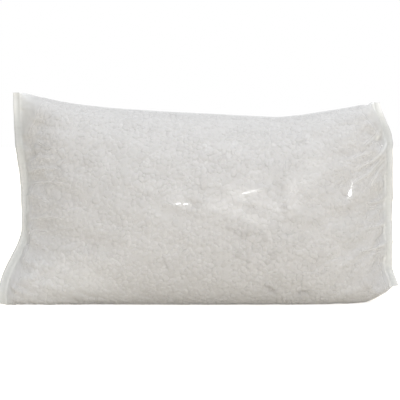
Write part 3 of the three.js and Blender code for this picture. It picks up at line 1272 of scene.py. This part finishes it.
@dataclass
class BallFilling:
    """The filling: fibre balls side by side under the film, around a core of more filling."""

    film: FilmShell
    spacing: float = 0.0070
    mean_radius: float = 0.0044
    radius_spread: float = 0.0010
    smallest: float = 0.0026
    largest: float = 0.0066
    shaking: float = 0.42
    nesting: float = 0.94
    pushes: int = 14
    push_share: float = 0.2
    oblong: float = 0.17
    first_ball: float = 0.010
    depth_share: float = 0.40
    clearance: float = 0.0004
    pressing: float = 0.20
    sink: float = 0.0008
    end_sink: float = 0.0005
    roughness: float = 0.15
    thinnest: float = 0.0038
    core_inset: float = 0.0013
    core_sinking: float = 0.0009
    core_softening: float = 0.0026
    bare_from_seal: float = 0.018
    full_from_seal: float = 0.060
    core_patch: float = 0.030
    core_patch_gain: float = 0.4
    core_tuft: float = 0.0003
    core_tuft_blur: float = 0.8
    core_depth_share: float = 0.3
    core_above_floor: float = 0.001
    core_tint: float = 0.43
    ball_tint: float = 0.39
    tint_spread: float = 0.14
    mottling: float = 0.12
    speck_tint: float = 0.30
    speck_share: float = 0.14
    # Painted light in the gaps between the balls, where shade falls.
    painted_light_in_gaps: float = 0.45
    gap_depth: float = 0.0018
    dense_place: tuple[float, float] = (0.076, 0.080)
    dense_size: tuple[float, float] = (0.066, 0.048)
    shade_patches: tuple[ShadePatch, ...] = SHADE_PATCHES
    core_from_seal: float = 0.003
    templates: int = 24
    seed: int = 29
    groups: tuple[str, ...] = ("front_left", "front_right", "back_left", "back_right")

    def _spread(self, rng: np.random.Generator) -> tuple[np.ndarray, np.ndarray]:
        """Spread balls over the lay-flat film and push apart those that are too close.

        They start on a shaken honeycomb, so that each ball's neighbours are known by their place in it.

        Args:
            rng: Source of the shaking and the sizes.

        Returns:
            Places of shape (balls, 2) as shares of the length and the girth, and the balls' radii.
        """
        length, girth = self.film.tube.flat_length, 2.0 * self.film.tube.flat_width
        columns = round(length / (self.spacing * math.sqrt(3.0) / 2.0))
        rows = round(girth / self.spacing)
        i, j = np.meshgrid(np.arange(columns), np.arange(rows), indexing="ij")
        step = np.array([length / columns, girth / rows])
        place = np.stack([i + 0.5, j + 0.5 * (i % 2)], -1) * step
        place += rng.uniform(-self.shaking, self.shaking, place.shape) * self.spacing
        radius = rng.normal(self.mean_radius, self.radius_spread, (columns, rows))
        radius = np.clip(radius, self.smallest, self.largest)
        for _ in range(self.pushes):
            push = np.zeros_like(place)
            for di in range(-2, 3):
                for dj in range(-2, 3):
                    if di == 0 and dj == 0:
                        continue
                    other = np.roll(place, (di, dj), (0, 1))
                    away = place - other
                    away[..., 1] -= girth * np.round(away[..., 1] / girth)
                    gap = np.linalg.norm(away, axis=-1)
                    wanted = self.nesting * (radius + np.roll(radius, (di, dj), (0, 1)))
                    near = np.abs(away[..., 0]) < length / 2
                    overlap = np.where(near, np.maximum(0.0, wanted - gap), 0.0)
                    push += self.push_share * overlap[..., None] * away / np.maximum(gap, 1e-6)[..., None]
            place += push
        place[..., 0] = np.clip(place[..., 0], 0.0, length)
        shares = place / [length, girth]
        shares[..., 1] %= 1.0
        return shares.reshape(-1, 2), radius.ravel()

    def _on_film(self, shares: np.ndarray) -> np.ndarray:
        """Read the film's surface at scattered places, between its four nearest points.

        Args:
            shares: Places as shares of the length and the girth.

        Returns:
            Rows with the position, the surface's slopes along and around the bag for each whole share, and
            the depth of the bag there.
        """
        surface = self.film.surface
        sections, ring, _ = surface.shape
        along = np.gradient(surface, axis=0) * (sections - 1)
        around = (np.roll(surface, -1, 1) - np.roll(surface, 1, 1)) * ring / 2
        mirrored = surface[:, (ring - np.arange(ring)) % ring]
        depth = np.linalg.norm(surface - mirrored, axis=-1, keepdims=True)
        rows = np.concatenate([surface, along, around, depth], -1)
        u = np.clip(shares[:, 0], 0.0, 1.0) * (sections - 1)
        v = (shares[:, 1] % 1.0) * ring
        i = np.minimum(u.astype(int), sections - 2)
        j = v.astype(int)
        fu, fv = (u - i)[:, None], (v - j)[:, None]
        near = rows[i, j % ring] * (1 - fu) + rows[i + 1, j % ring] * fu
        far = rows[i, (j + 1) % ring] * (1 - fu) + rows[i + 1, (j + 1) % ring] * fu
        return near * (1 - fv) + far * fv

    def _pressed(
        self, balls: np.ndarray, shares: np.ndarray, rows: np.ndarray, radius: np.ndarray
    ) -> tuple[np.ndarray, np.ndarray]:
        """Press the balls flat where they would reach the film, by a hyperbolic tangent of the excess.

        Each point is held against the film nearest to it, found by following the film's slopes.

        Args:
            balls: Points of shape (balls, points, 3).
            shares: Each ball's place as shares of the length and the girth.
            rows: The film's rows there.
            radius: The balls' radii.

        Returns:
            The pressed points, and how deep each one lies under the film.
        """
        offset = balls - rows[:, None, :3]
        slopes = rows[:, None, 3:9].reshape(len(rows), 1, 2, 3)
        along, around = slopes[:, :, 0], slopes[:, :, 1]
        reach_a, reach_b = (offset * along).sum(-1), (offset * around).sum(-1)
        aa, bb, ab = ((u * v).sum(-1) for u, v in ((along, along), (around, around), (along, around)))
        scale = aa * bb - ab * ab
        moved = np.stack([bb * reach_a - ab * reach_b, aa * reach_b - ab * reach_a], -1) / scale[..., None]
        near = self._on_film((shares[:, None] + moved).reshape(-1, 2))
        normal = unit(np.cross(near[:, 3:6], near[:, 6:9])).reshape(balls.shape)
        level = ((balls - near[:, :3].reshape(balls.shape)) * normal).sum(-1) + self.clearance
        flat = 0.5 * self.pressing * radius[:, None]
        proud = level + flat
        held = np.where(proud > 0.0, flat * np.tanh(np.maximum(proud, 0.0) / flat), proud) - flat
        return balls + (held - level)[..., None] * normal, -held

    def build(self) -> list[bpy.types.Object]:
        """Make the balls, in four groups, and the core.

        Returns:
            The objects, each with a point attribute of the fibre's tone, with painted light and painted
            shade.
        """
        rng = np.random.default_rng(self.seed)
        shares, radius = self._spread(rng)
        rows = self._on_film(shares)
        from_end = np.minimum(shares[:, 0], 1.0 - shares[:, 0]) * self.film.tube.flat_length
        room = (from_end > self.first_ball) & (rows[:, 9] > 2.0 * self.thinnest)
        shares, radius, rows = shares[room], radius[room], rows[room]
        point, normal = rows[:, :3], unit(np.cross(rows[:, 3:6], rows[:, 6:9]))
        radius = np.minimum(radius, self.depth_share * rows[:, 9])
        sunk = self.clearance + (1.0 - self.pressing) * radius
        sunk += self.sink * rng.uniform(0.0, 1.0, len(radius)) ** 2
        sunk += self.end_sink * (1.0 - self._settled(from_end[room]))
        centre = point - normal * sunk[:, None]
        shapes, faces = ball_templates(self.templates, rng, self.roughness)
        stretch = np.exp(self.oblong * rng.standard_normal((len(radius), 1, 3)))
        picked = shapes[rng.integers(0, self.templates, len(radius))] * stretch * radius[:, None, None]
        balls = np.einsum("bij,bvj->bvi", random_turns(len(radius), rng), picked) + centre[:, None]
        balls, depth = self._pressed(balls, shares, rows, radius)
        balls[..., 2] = np.maximum(balls[..., 2], self.film.shift[2] + self.clearance)
        run = (point[:, 0] - self.dense_place[0]) / self.dense_size[0]
        rise = (point[:, 2] - self.dense_place[1]) / self.dense_size[1]
        mottled = np.where(point[:, 1] < 0.0, np.exp(-(run * run + rise * rise)), 0.0)
        drawn = rng.uniform(0.0, 1.0, len(radius))
        speck = self.speck_tint * (drawn < self.speck_share)
        tone_and_painted_light = self.ball_tint + self.tint_spread * (drawn - 0.5) - mottled * (self.mottling + speck)
        # Painted light: points deeper under the film are painted lighter, against the shade that falls in
        # the gaps between the balls, and the shade patches paint shade.
        tone_and_painted_light = tone_and_painted_light[:, None] + self.painted_light_in_gaps * smooth(depth / self.gap_depth) - self._shaded(balls)
        group = 2 * (shares[:, 1] > 0.5) + (shares[:, 0] > 0.5)
        pieces = [
            self._group(f"fibre_balls_{name}", balls[group == k], faces, tone_and_painted_light[group == k])
            for k, name in enumerate(self.groups)
        ]
        LOG.info("filling: %d balls", len(radius))
        return pieces + [self._core()]

    @staticmethod
    def _group(name: str, balls: np.ndarray, faces: np.ndarray, tone_and_painted_light: np.ndarray) -> bpy.types.Object:
        """Join balls into one mesh.

        Args:
            name: Name of the object.
            balls: Points of shape (balls, points, 3).
            faces: Triangles of one ball.
            tone_and_painted_light: Tone of each point from 0 to 1, with painted light and painted shade.

        Returns:
            The object, with the shades as a point attribute.
        """
        count, points, _ = balls.shape
        numbered = faces[None] + points * np.arange(count)[:, None, None]
        piece = mesh_object(name, balls.reshape(-1, 3), numbered.reshape(-1, 3))
        layer = piece.data.attributes.new("tone_and_painted_light", "FLOAT", "POINT")
        layer.data.foreach_set("value", tone_and_painted_light.ravel().astype(np.float32))
        return piece

    def _core(self) -> bpy.types.Object:
        """Make the core: the film's surface moved inwards, less where the bag is thin.

        Returns:
            The core's object.
        """
        rng = np.random.default_rng(self.seed + 1)
        cell = self.film.fine_cell
        first = max(1, round(self.core_from_seal / cell))
        surface = blur(self.film.surface, self.core_softening / cell)[first:-first:2, ::2]
        normals = tube_normals(surface)
        ring = surface.shape[1]
        mirrored = surface[:, (ring - np.arange(ring)) % ring]
        depth = np.linalg.norm(surface - mirrored, axis=-1, keepdims=True)
        patches = blur(rng.standard_normal((*surface.shape[:2], 1)), self.core_patch / cell / 8)
        tufts = blur(rng.standard_normal((*surface.shape[:2], 1)), self.core_tuft_blur)
        sunken = smooth(0.5 + self.core_patch_gain * patches / patches.std())
        inset = self.core_inset + self.core_sinking * sunken
        inset = inset + self.core_tuft * tufts / tufts.std()
        steps = np.arange(len(surface))
        settled = self._settled(2.0 * cell * np.minimum(steps, steps[::-1]))
        inset = self.core_inset + (inset - self.core_inset) * settled[:, None, None]
        deepest = np.maximum(self.clearance, self.core_depth_share * depth)
        core = surface - normals * np.clip(inset, self.clearance, deepest)
        core[..., 2] = np.maximum(core[..., 2], self.film.shift[2] + self.core_above_floor)
        net = RingNet.capped(core.shape[0], ring)
        piece = net.new_object("fibre_core", net.gather(core))
        layer = piece.data.attributes.new("tone_and_painted_light", "FLOAT", "POINT")
        # The core's tone, with painted shade at the shade patches.
        tone_and_painted_light = net.gather((self.core_tint - self._shaded(core))[..., None])
        layer.data.foreach_set("value", tone_and_painted_light[:, 0].astype(np.float32))
        return piece

    def _settled(self, from_seal: np.ndarray) -> np.ndarray:
        """0 near the seals, where the filling has sunk in, and 1 in the body."""
        return smooth((from_seal - self.bare_from_seal) / (self.full_from_seal - self.bare_from_seal))

    def _shaded(self, points: np.ndarray) -> np.ndarray:
        """Share of the tone that the shade patches take away at points, as painted shade."""
        return sum(patch.shade(points) for patch in self.shade_patches)


class Value:
    """A number that varies over a surface: a node's output, on which Python's operators add Math nodes."""

    def __init__(self, shader: "Shader", socket: bpy.types.NodeSocket) -> None:
        """Wrap an output socket.

        Args:
            shader: The material or world that the socket belongs to.
            socket: The output.
        """
        self.shader = shader
        self.socket = socket

    def _math(self, operation: str, first: object, second: object = None) -> "Value":
        """Add a Math node.

        Args:
            operation: The node's operation.
            first: A Value or a number.
            second: A Value, a number or None.

        Returns:
            The node's result.
        """
        inputs = {0: first} if second is None else {0: first, 1: second}
        return self.shader.node("ShaderNodeMath", {"operation": operation}, inputs).value()

    def __add__(self, other: object) -> "Value":
        """Sum."""
        return self._math("ADD", self, other)

    def __radd__(self, other: object) -> "Value":
        """Sum with a number on the left."""
        return self._math("ADD", other, self)

    def __sub__(self, other: object) -> "Value":
        """Difference."""
        return self._math("SUBTRACT", self, other)

    def __rsub__(self, other: object) -> "Value":
        """Difference from a number."""
        return self._math("SUBTRACT", other, self)

    def __mul__(self, other: object) -> "Value":
        """Product."""
        return self._math("MULTIPLY", self, other)

    def __rmul__(self, other: object) -> "Value":
        """Product with a number on the left."""
        return self._math("MULTIPLY", other, self)

    def __truediv__(self, other: object) -> "Value":
        """Quotient."""
        return self._math("DIVIDE", self, other)

    def __rtruediv__(self, other: object) -> "Value":
        """Quotient of a number by this."""
        return self._math("DIVIDE", other, self)

    def __pow__(self, other: object) -> "Value":
        """Power."""
        return self._math("POWER", self, other)

    def __rpow__(self, other: object) -> "Value":
        """A number to the power of this."""
        return self._math("POWER", other, self)

    def __neg__(self) -> "Value":
        """The opposite."""
        return self._math("MULTIPLY", self, -1.0)

    def least(self, other: object) -> "Value":
        """The lesser of this and another."""
        return self._math("MINIMUM", self, other)

    def most(self, other: object) -> "Value":
        """The greater of this and another."""
        return self._math("MAXIMUM", self, other)

    def held(self) -> "Value":
        """This, held between 0 and 1."""
        return self.most(0.0).least(1.0)


class Node:
    """A shader node, with its outputs at hand."""

    def __init__(self, shader: "Shader", node: bpy.types.Node) -> None:
        """Wrap a node.

        Args:
            shader: The material or world that the node belongs to.
            node: The node.
        """
        self.shader = shader
        self.node = node

    def value(self, output: str | int = 0) -> Value:
        """One of its outputs, as a number to reckon with."""
        return Value(self.shader, self.node.outputs[output])

    def out(self, output: str | int = 0) -> bpy.types.NodeSocket:
        """One of its outputs, as a socket."""
        return self.node.outputs[output]


class Shader:
    """The node tree of a material or a world, built by one method for every kind of node."""

    def __init__(self, owner: bpy.types.Material | bpy.types.World) -> None:
        """Start an empty node tree.

        Args:
            owner: The material or world that it belongs to.
        """
        self.owner = owner
        owner.use_nodes = True
        self.tree = owner.node_tree
        self.tree.nodes.clear()

    def node(self, kind: str, settings: dict | None = None, inputs: dict | None = None) -> Node:
        """Add a node.

        Args:
            kind: The node's type.
            settings: Its own settings, set before its sockets. "ramp" holds a colour ramp's stops.
            inputs: Values or links of its sockets, by name or number.

        Returns:
            The node.
        """
        node = self.tree.nodes.new(kind)
        for name, setting in (settings or {}).items():
            if name == "ramp":
                for i, (place, colour) in enumerate(setting):
                    stops = node.color_ramp.elements
                    stop = stops[i] if i < 2 else stops.new(place)
                    stop.position = place
                    stop.color = (*colour, 1.0)
            else:
                setattr(node, name, setting)
        for name, value in (inputs or {}).items():
            socket = node.inputs[name]
            if isinstance(value, Value):
                self.tree.links.new(value.socket, socket)
            elif isinstance(value, bpy.types.NodeSocket):
                self.tree.links.new(value, socket)
            elif isinstance(value, tuple) and socket.type == "RGBA":
                socket.default_value = (*value, 1.0)
            else:
                socket.default_value = value
        return Node(self, node)

    def noise(
        self, vector: bpy.types.NodeSocket, scale: float, detail: float, distortion: float = 0.0
    ) -> Value:
        """Smooth noise from 0 to 1.

        Args:
            vector: Where to read it.
            scale: Cells in a metre.
            detail: Number of finer layers.
            distortion: How much it is bent by itself.

        Returns:
            The noise.
        """
        inputs = {"Vector": vector, "Scale": scale, "Detail": detail, "Distortion": distortion}
        return self.node("ShaderNodeTexNoise", {}, inputs).value("Fac")

    def stretched(
        self, vector: bpy.types.NodeSocket, scale: tuple[float, float, float]
    ) -> bpy.types.NodeSocket:
        """Coordinates scaled part by part.

        Args:
            vector: The coordinates.
            scale: Factors for their three parts.

        Returns:
            The scaled coordinates.
        """
        inputs = {"Vector": vector, "Scale": scale}
        return self.node("ShaderNodeMapping", {"vector_type": "POINT"}, inputs).out()

    def bump(self, height: Value, distance: float) -> bpy.types.NodeSocket:
        """A normal tilted by a height.

        Args:
            height: The height, from 0 to 1.
            distance: Its real size at 1.

        Returns:
            The normal.
        """
        inputs = {"Height": height, "Distance": distance, "Strength": 1.0}
        return self.node("ShaderNodeBump", {}, inputs).out()

    def finish(self, surface: bpy.types.NodeSocket) -> bpy.types.Material | bpy.types.World:
        """Join the last shader to the output.

        Args:
            surface: The shader's socket.

        Returns:
            The material or world.
        """
        whole = isinstance(self.owner, bpy.types.World)
        self.node("ShaderNodeOutputWorld" if whole else "ShaderNodeOutputMaterial", {}, {"Surface": surface})
        return self.owner


@dataclass(frozen=True)
class AirHole:
    """The small round hole in the back face, through which the bag breathes."""

    place: tuple[float, float]
    radius: float = 0.003
    rim: float = 0.0007
    rim_white: float = 0.8
    sharpness: float = 4000.0


@dataclass(frozen=True)
class ClearFilmFinish:
    """Thin clear polyethylene: see-through, hazy where it is gathered, and glossier at a slant."""

    colour: tuple[float, float, float] = (0.668, 0.678, 0.668)
    # Greyer colour of the welds: their double film, and partly painted shade of the gathers in them.
    welded_and_shaded_colour: tuple[float, float, float] = (0.52, 0.53, 0.515)
    roughness: float = 0.24
    smooth_roughness: float = 0.06
    haze: float = 0.27
    haze_spread: float = 0.10
    gathered_haze: float = 0.31
    # The extra haze and the colour of the painted highlights, the painted light on the upper corners and the
    # paler places.
    white_and_highlight_haze: float = 0.45
    white_and_highlight_colour: tuple[float, float, float] = (0.93, 0.94, 0.93)
    glints: tuple[Facet, ...] = GLINTS
    facet_reach: float = 1.6
    stroke_reach: float = 1.5
    stroke_taper: float = 0.55
    side_sharpness: float = 1000.0
    air_hole: AirHole = AirHole((0.1585, 0.157))
    slant_gloss: float = 0.34
    slant_blend: float = 0.35
    slant_power: float = 2.2
    shine_share: float = 0.5
    crinkle_depth: float = 0.00018
    crinkle_scale: float = 120.0
    crinkle_share: float = 0.4
    crinkle_bend: float = 0.4
    cloud_scale: float = 24.0
    draw_scale: float = 240.0
    draw_share: float = 0.9
    draw_floor: float = 0.10
    streak_floor: float = 0.7
    streak_gain: float = 0.6
    draw_stretch: tuple[float, float, float] = (0.14, 1.0, 1.0)
    clear_colour: tuple[float, float, float] = (0.985, 0.985, 0.985)
    index: float = 1.52
    specular: float = 0.8

    def material(self) -> bpy.types.Material:
        """Make the material, on the film's UV map in metres, its milk attribute and its attribute of
        whiteness and painted highlights.

        Returns:
            The material.
        """
        shader = Shader(bpy.data.materials.new("clear_film"))
        film = shader.node("ShaderNodeUVMap", {"uv_map": "film"}).out("UV")
        milk = shader.node("ShaderNodeAttribute", {"attribute_name": "milk"}).value("Fac")
        cloud = shader.noise(film, self.cloud_scale, 3.0)
        crinkle = shader.noise(film, self.crinkle_scale, 2.0, self.crinkle_bend)
        drawn = shader.noise(shader.stretched(film, self.draw_stretch), self.draw_scale, 2.0)
        height = self.crinkle_share * crinkle + self.draw_share * drawn * (self.draw_floor + milk)
        normal = shader.bump(height * (1.0 - self._near_glints(shader)), self.crinkle_depth)
        facing = {"Blend": self.slant_blend, "Normal": normal}
        slant = shader.node("ShaderNodeLayerWeight", {}, facing).value("Facing")
        streaks = (self.streak_floor + self.streak_gain * drawn).held()
        shine = self._glints(shader)
        # Painted highlights along the creases, painted light on the upper corners, the paler left ear and
        # the air hole's white rim.
        white_and_highlight = shader.node("ShaderNodeAttribute", {"attribute_name": "whitened_and_highlight"}).value("Fac")
        from_hole = self._from_hole(shader)
        rim = (1.0 - ((from_hole - self.air_hole.rim) / self.air_hole.rim).most(0.0)).held()
        white_and_highlight = white_and_highlight.most(rim * self.air_hole.rim_white)
        # Where it is painted white, the film's colour goes to white and its haze rises: painted highlights
        # and painted light.
        tone = shader.node(
            "ShaderNodeMix",
            {"data_type": "RGBA"},
            {"Factor": white_and_highlight, "A": self.colour, "B": self.white_and_highlight_colour},
        )
        # The welds turn greyer: their double film, and partly painted shade of their gathers.
        tone = shader.node(
            "ShaderNodeMix",
            {"data_type": "RGBA"},
            {"Factor": (milk - 1.0).held(), "A": tone.node.outputs["Result"], "B": self.welded_and_shaded_colour},
        )
        haze = self.haze + self.haze_spread * (cloud - 0.5) + self.gathered_haze * milk * streaks
        haze = haze + self.white_and_highlight_haze * white_and_highlight
        share = (haze + self.slant_gloss * slant ** self.slant_power + self.shine_share * shine).held()
        share = share * (from_hole * self.air_hole.sharpness).held()
        gloss = shader.node(
            "ShaderNodeBsdfPrincipled",
            {},
            {
                "Base Color": tone.node.outputs["Result"],
                "Roughness": self.roughness + (self.smooth_roughness - self.roughness) * shine,
                "IOR": self.index,
                "Specular IOR Level": self.specular,
                "Normal": normal,
            },
        )
        clear = shader.node("ShaderNodeBsdfTransparent", {}, {"Color": self.clear_colour})
        mixed = shader.node("ShaderNodeMixShader", {}, {0: share, 1: clear.out(), 2: gloss.out()})
        return shader.finish(mixed.out())

    @staticmethod
    def _place(shader: Shader) -> tuple[Value, Value, Value]:
        """Place on the bag, in metres.

        Args:
            shader: The material.

        Returns:
            The three parts of the place.
        """
        place = shader.node("ShaderNodeTexCoord").out("Object")
        parts = shader.node("ShaderNodeSeparateXYZ", {}, {"Vector": place})
        return parts.value("X"), parts.value("Y"), parts.value("Z")

    def _from_hole(self, shader: Shader) -> Value:
        """Distance from the air hole's edge in metres, and a large number on the front face.

        Args:
            shader: The material.

        Returns:
            The distance, negative inside the hole.
        """
        x, y, z = self._place(shader)
        dx, dz = x - self.air_hole.place[0], z - self.air_hole.place[1]
        return (dx * dx + dz * dz) ** 0.5 - self.air_hole.radius + self._in_front(y)

    def _in_front(self, y: Value) -> Value:
        """1 on the front face and 0 on the back one."""
        return (y * -self.side_sharpness).held()

    def _near_glints(self, shader: Shader) -> Value:
        """Where the film is flat around a glint: a soft ellipse at each facet, on the front face.

        Args:
            shader: The material.

        Returns:
            1 at the facets and 0 elsewhere.
        """
        x, y, z = self._place(shader)
        total = None
        for facet in self.glints:
            angle = math.radians(facet.slant)
            dx, dz = x - facet.place[0], z - facet.place[1]
            a = (dx * math.cos(angle) + dz * math.sin(angle)) / facet.half_size[0]
            b = (dz * math.cos(angle) - dx * math.sin(angle)) / facet.half_size[1]
            near = (self.facet_reach - (a * a + b * b)).held()
            total = near if total is None else total.most(near)
        return total * self._in_front(y)

    def _glints(self, shader: Shader) -> Value:
        """Where the film is so smooth that the lamp shows sharply: along each glint's strokes.

        Args:
            shader: The material.

        Returns:
            1 on the strokes and 0 elsewhere.
        """
        x, y, z = self._place(shader)
        total = None
        for stroke in (stroke for facet in self.glints for stroke in facet.strokes):
            run = np.subtract(stroke.end, stroke.start)
            length = float(np.hypot(*run))
            along_x, along_z = (float(part) / length for part in run)
            dx, dz = x - stroke.start[0], z - stroke.start[1]
            t = dx * along_x + dz * along_z
            aside = dz * along_x - dx * along_z
            past = (t - length).most(-t).most(0.0)
            taper = 1.0 - self.stroke_taper * ((t / length - 0.5) * (t / length - 0.5) * 4.0).least(1.0)
            distance = (aside * aside + past * past) ** 0.5
            mark = (self.stroke_reach - distance / (taper * stroke.half_width)).held() * stroke.strength
            total = mark if total is None else total.most(mark)
        return total * self._in_front(y)


@dataclass(frozen=True)
class FibreFinish:
    """Matt white polyester fibre, with soft tufts and a slight difference from ball to ball."""

    light: tuple[float, float, float] = (0.80, 0.790, 0.794)
    dark: tuple[float, float, float] = (0.57, 0.550, 0.545)
    tuft_height: float = 0.0007
    patch_scale: float = 45.0
    patch_share: float = 0.3
    tuft_scale: float = 520.0
    tuft_share: float = 0.22
    tuft_bend: float = 0.4
    tuft_bump: float = 0.7
    fibre_bump: float = 0.3
    fibre_scale: float = 1300.0
    fibre_stretch: tuple[float, float, float] = (1.0, 0.6, 1.4)
    fibre_bend: float = 1.2
    roughness: float = 0.92
    specular: float = 0.15
    sheen: float = 0.25
    sheen_roughness: float = 0.6
    glow_through: float = 0.15
    glow_depth: float = 0.0012

    def material(self) -> bpy.types.Material:
        """Make the material.

        Returns:
            The material.
        """
        shader = Shader(bpy.data.materials.new("fibre_balls"))
        place = shader.node("ShaderNodeTexCoord").out("Object")
        # The point attribute holds the fibre's tone with painted light in the gaps and painted shade.
        tone_and_painted_light = shader.node("ShaderNodeAttribute", {"attribute_name": "tone_and_painted_light"}).value("Fac")
        patch = shader.noise(place, self.patch_scale, 2.0)
        tuft = shader.noise(place, self.tuft_scale, 3.0, self.tuft_bend)
        shade = (tone_and_painted_light + self.patch_share * (patch - 0.5) + self.tuft_share * (tuft - 0.5)).held()
        colour = shader.node(
            "ShaderNodeMix",
            {"data_type": "RGBA"},
            {"Factor": shade, "A": self.dark, "B": self.light},
        )
        drawn = shader.stretched(place, self.fibre_stretch)
        fibres = shader.noise(drawn, self.fibre_scale, 2.0, self.fibre_bend)
        normal = shader.bump(self.tuft_bump * tuft + self.fibre_bump * fibres, self.tuft_height)
        body = shader.node(
            "ShaderNodeBsdfPrincipled",
            {},
            {
                "Base Color": colour.node.outputs["Result"],
                "Roughness": self.roughness,
                "Specular IOR Level": self.specular,
                "Subsurface Weight": self.glow_through,
                "Subsurface Radius": (1.0, 1.0, 1.0),
                "Subsurface Scale": self.glow_depth,
                "Sheen Weight": self.sheen,
                "Sheen Roughness": self.sheen_roughness,
                "Normal": normal,
            },
        )
        return shader.finish(body.out())


class LampRole(Enum):
    """What each lamp does."""

    OVERHEAD = "overhead_softbox"
    FRONT = "front_softbox"
    GLINT = "glint_lamp"


@dataclass(frozen=True)
class Lamp:
    """A rectangular lamp that points at the bag."""

    role: LampRole
    place: tuple[float, float, float]
    size: tuple[float, float]
    power: float
    colour: tuple[float, float, float] = WHITE

    def build(self, aim: Vector) -> None:
        """Add the lamp.

        Args:
            aim: The point that it faces.
        """
        light = bpy.data.lights.new(self.role.value, "AREA")
        light.shape = "RECTANGLE"
        light.size, light.size_y = self.size
        light.energy = self.power
        light.color = self.colour
        lamp = bpy.data.objects.new(self.role.value, light)
        lamp.location = self.place
        lamp.rotation_euler = (aim - lamp.location).to_track_quat("-Z", "Y").to_euler()
        bpy.context.scene.collection.objects.link(lamp)


@dataclass(frozen=True)
class Studio:
    """The camera, the pale floor, the soft lamps and the white surroundings.

    The width of the camera's sensor is in millimetres.
    """

    frame_width: float = 0.5012
    distance: float = 1.65
    elevation: float = 5.0
    aim_height: float = 0.1275
    sensor: float = 36.0
    world_level: float = 0.77
    floor_colour: tuple[float, float, float] = (0.82, 0.77, 0.68)
    floor_glow: float = 0.74
    floor_reach: float = 4.0
    lamps: tuple[Lamp, ...] = (
        Lamp(LampRole.OVERHEAD, (0.10, -0.15, 1.35), (1.5, 1.3), 6.3, (0.90, 0.94, 1.0)),
        Lamp(LampRole.FRONT, (0.55, -1.9, 0.75), (1.1, 0.9), 11.2, (1.0, 0.99, 0.985)),
        Lamp(LampRole.GLINT, (0.22, -1.62, 0.36), (0.06, 0.06), 1.6),
    )

    @property
    def eye(self) -> np.ndarray:
        """Place of the camera."""
        tilt = math.radians(self.elevation)
        back, up = self.distance * math.cos(tilt), self.distance * math.sin(tilt)
        return np.array([0.0, -back, self.aim_height + up])

    @property
    def glint_lamp(self) -> np.ndarray:
        """Place of the glint lamp."""
        return np.array(next(lamp.place for lamp in self.lamps if lamp.role is LampRole.GLINT))

    def build(self) -> None:
        """Add everything around the bag."""
        scene = bpy.context.scene
        scene.view_settings.view_transform = "Standard"
        aim = Vector((0.0, 0.0, self.aim_height))
        for lamp in self.lamps:
            lamp.build(aim)
        self._camera(aim)
        self._floor()
        self._world()

    def _camera(self, aim: Vector) -> None:
        """Add the camera, level with the photograph's view of the bag.

        Args:
            aim: The point in the middle of the picture.
        """
        camera = bpy.data.cameras.new("camera")
        camera.sensor_width = self.sensor
        camera.lens = self.sensor * self.distance / self.frame_width
        holder = bpy.data.objects.new("camera", camera)
        holder.location = Vector(self.eye)
        holder.rotation_euler = (aim - holder.location).to_track_quat("-Z", "Y").to_euler()
        bpy.context.scene.collection.objects.link(holder)
        bpy.context.scene.camera = holder

    @staticmethod
    def _in_view(shader: Shader) -> Value:
        """What the camera sees directly, in a reflection or through something clear.

        Args:
            shader: The material or world.

        Returns:
            1 for such rays and 0 for all others.
        """
        path = shader.node("ShaderNodeLightPath")
        direct, mirrored = path.value("Is Camera Ray"), path.value("Is Glossy Ray")
        return direct.most(mirrored).most(path.value("Is Transmission Ray"))

    def _floor(self) -> None:
        """Add the floor, which reads as white to the camera and keeps the bag's shadow."""
        square = [(-1.0, -1.0, 0.0), (1.0, -1.0, 0.0), (1.0, 1.0, 0.0), (-1.0, 1.0, 0.0)]
        corners = self.floor_reach * np.array(square)
        floor = mesh_object("floor", corners, np.array([[0, 1, 2, 3]]))
        shader = Shader(bpy.data.materials.new("pale_floor"))
        matt = shader.node("ShaderNodeBsdfDiffuse", {}, {"Color": self.floor_colour})
        glow = shader.node("ShaderNodeEmission", {}, {"Strength": self._in_view(shader) * self.floor_glow})
        both = shader.node("ShaderNodeAddShader", {}, {0: matt.out(), 1: glow.out()})
        floor.data.materials.append(shader.finish(both.out()))

    def _world(self) -> None:
        """Light the scene from all around, and show white to the camera and in reflections."""
        shader = Shader(bpy.data.worlds.new("white_surroundings"))
        lit = shader.node("ShaderNodeBackground", {}, {"Color": WHITE, "Strength": self.world_level})
        seen = shader.node("ShaderNodeBackground", {}, {"Color": WHITE, "Strength": 1.0})
        inputs = {0: self._in_view(shader), 1: lit.out(), 2: seen.out()}
        mixed = shader.node("ShaderNodeMixShader", {}, inputs)
        bpy.context.scene.world = shader.finish(mixed.out())


def main() -> None:
    """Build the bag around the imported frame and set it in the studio."""
    logging.basicConfig(level=logging.INFO, format="%(name)s: %(message)s")
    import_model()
    studio = Studio()
    studio.build()

    low, high = (np.array(corner, dtype=float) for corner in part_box(FILM_NODE))
    film = FilmShell(BagForm(), studio.eye, studio.glint_lamp)
    film.shape(low, high)
    shell = film.build()
    shell.data.materials.append(ClearFilmFinish().material())
    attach(shell, BODY)
    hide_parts(FILM_NODE)

    fibre = FibreFinish().material()
    for piece in BallFilling(film).build():
        piece.data.materials.append(fibre)
        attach(piece, BODY)
        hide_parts(FILL_NODE)
        LOG.info("%s: %d faces", piece.name, len(piece.data.polygons))


if __name__ == "__main__":
    main()
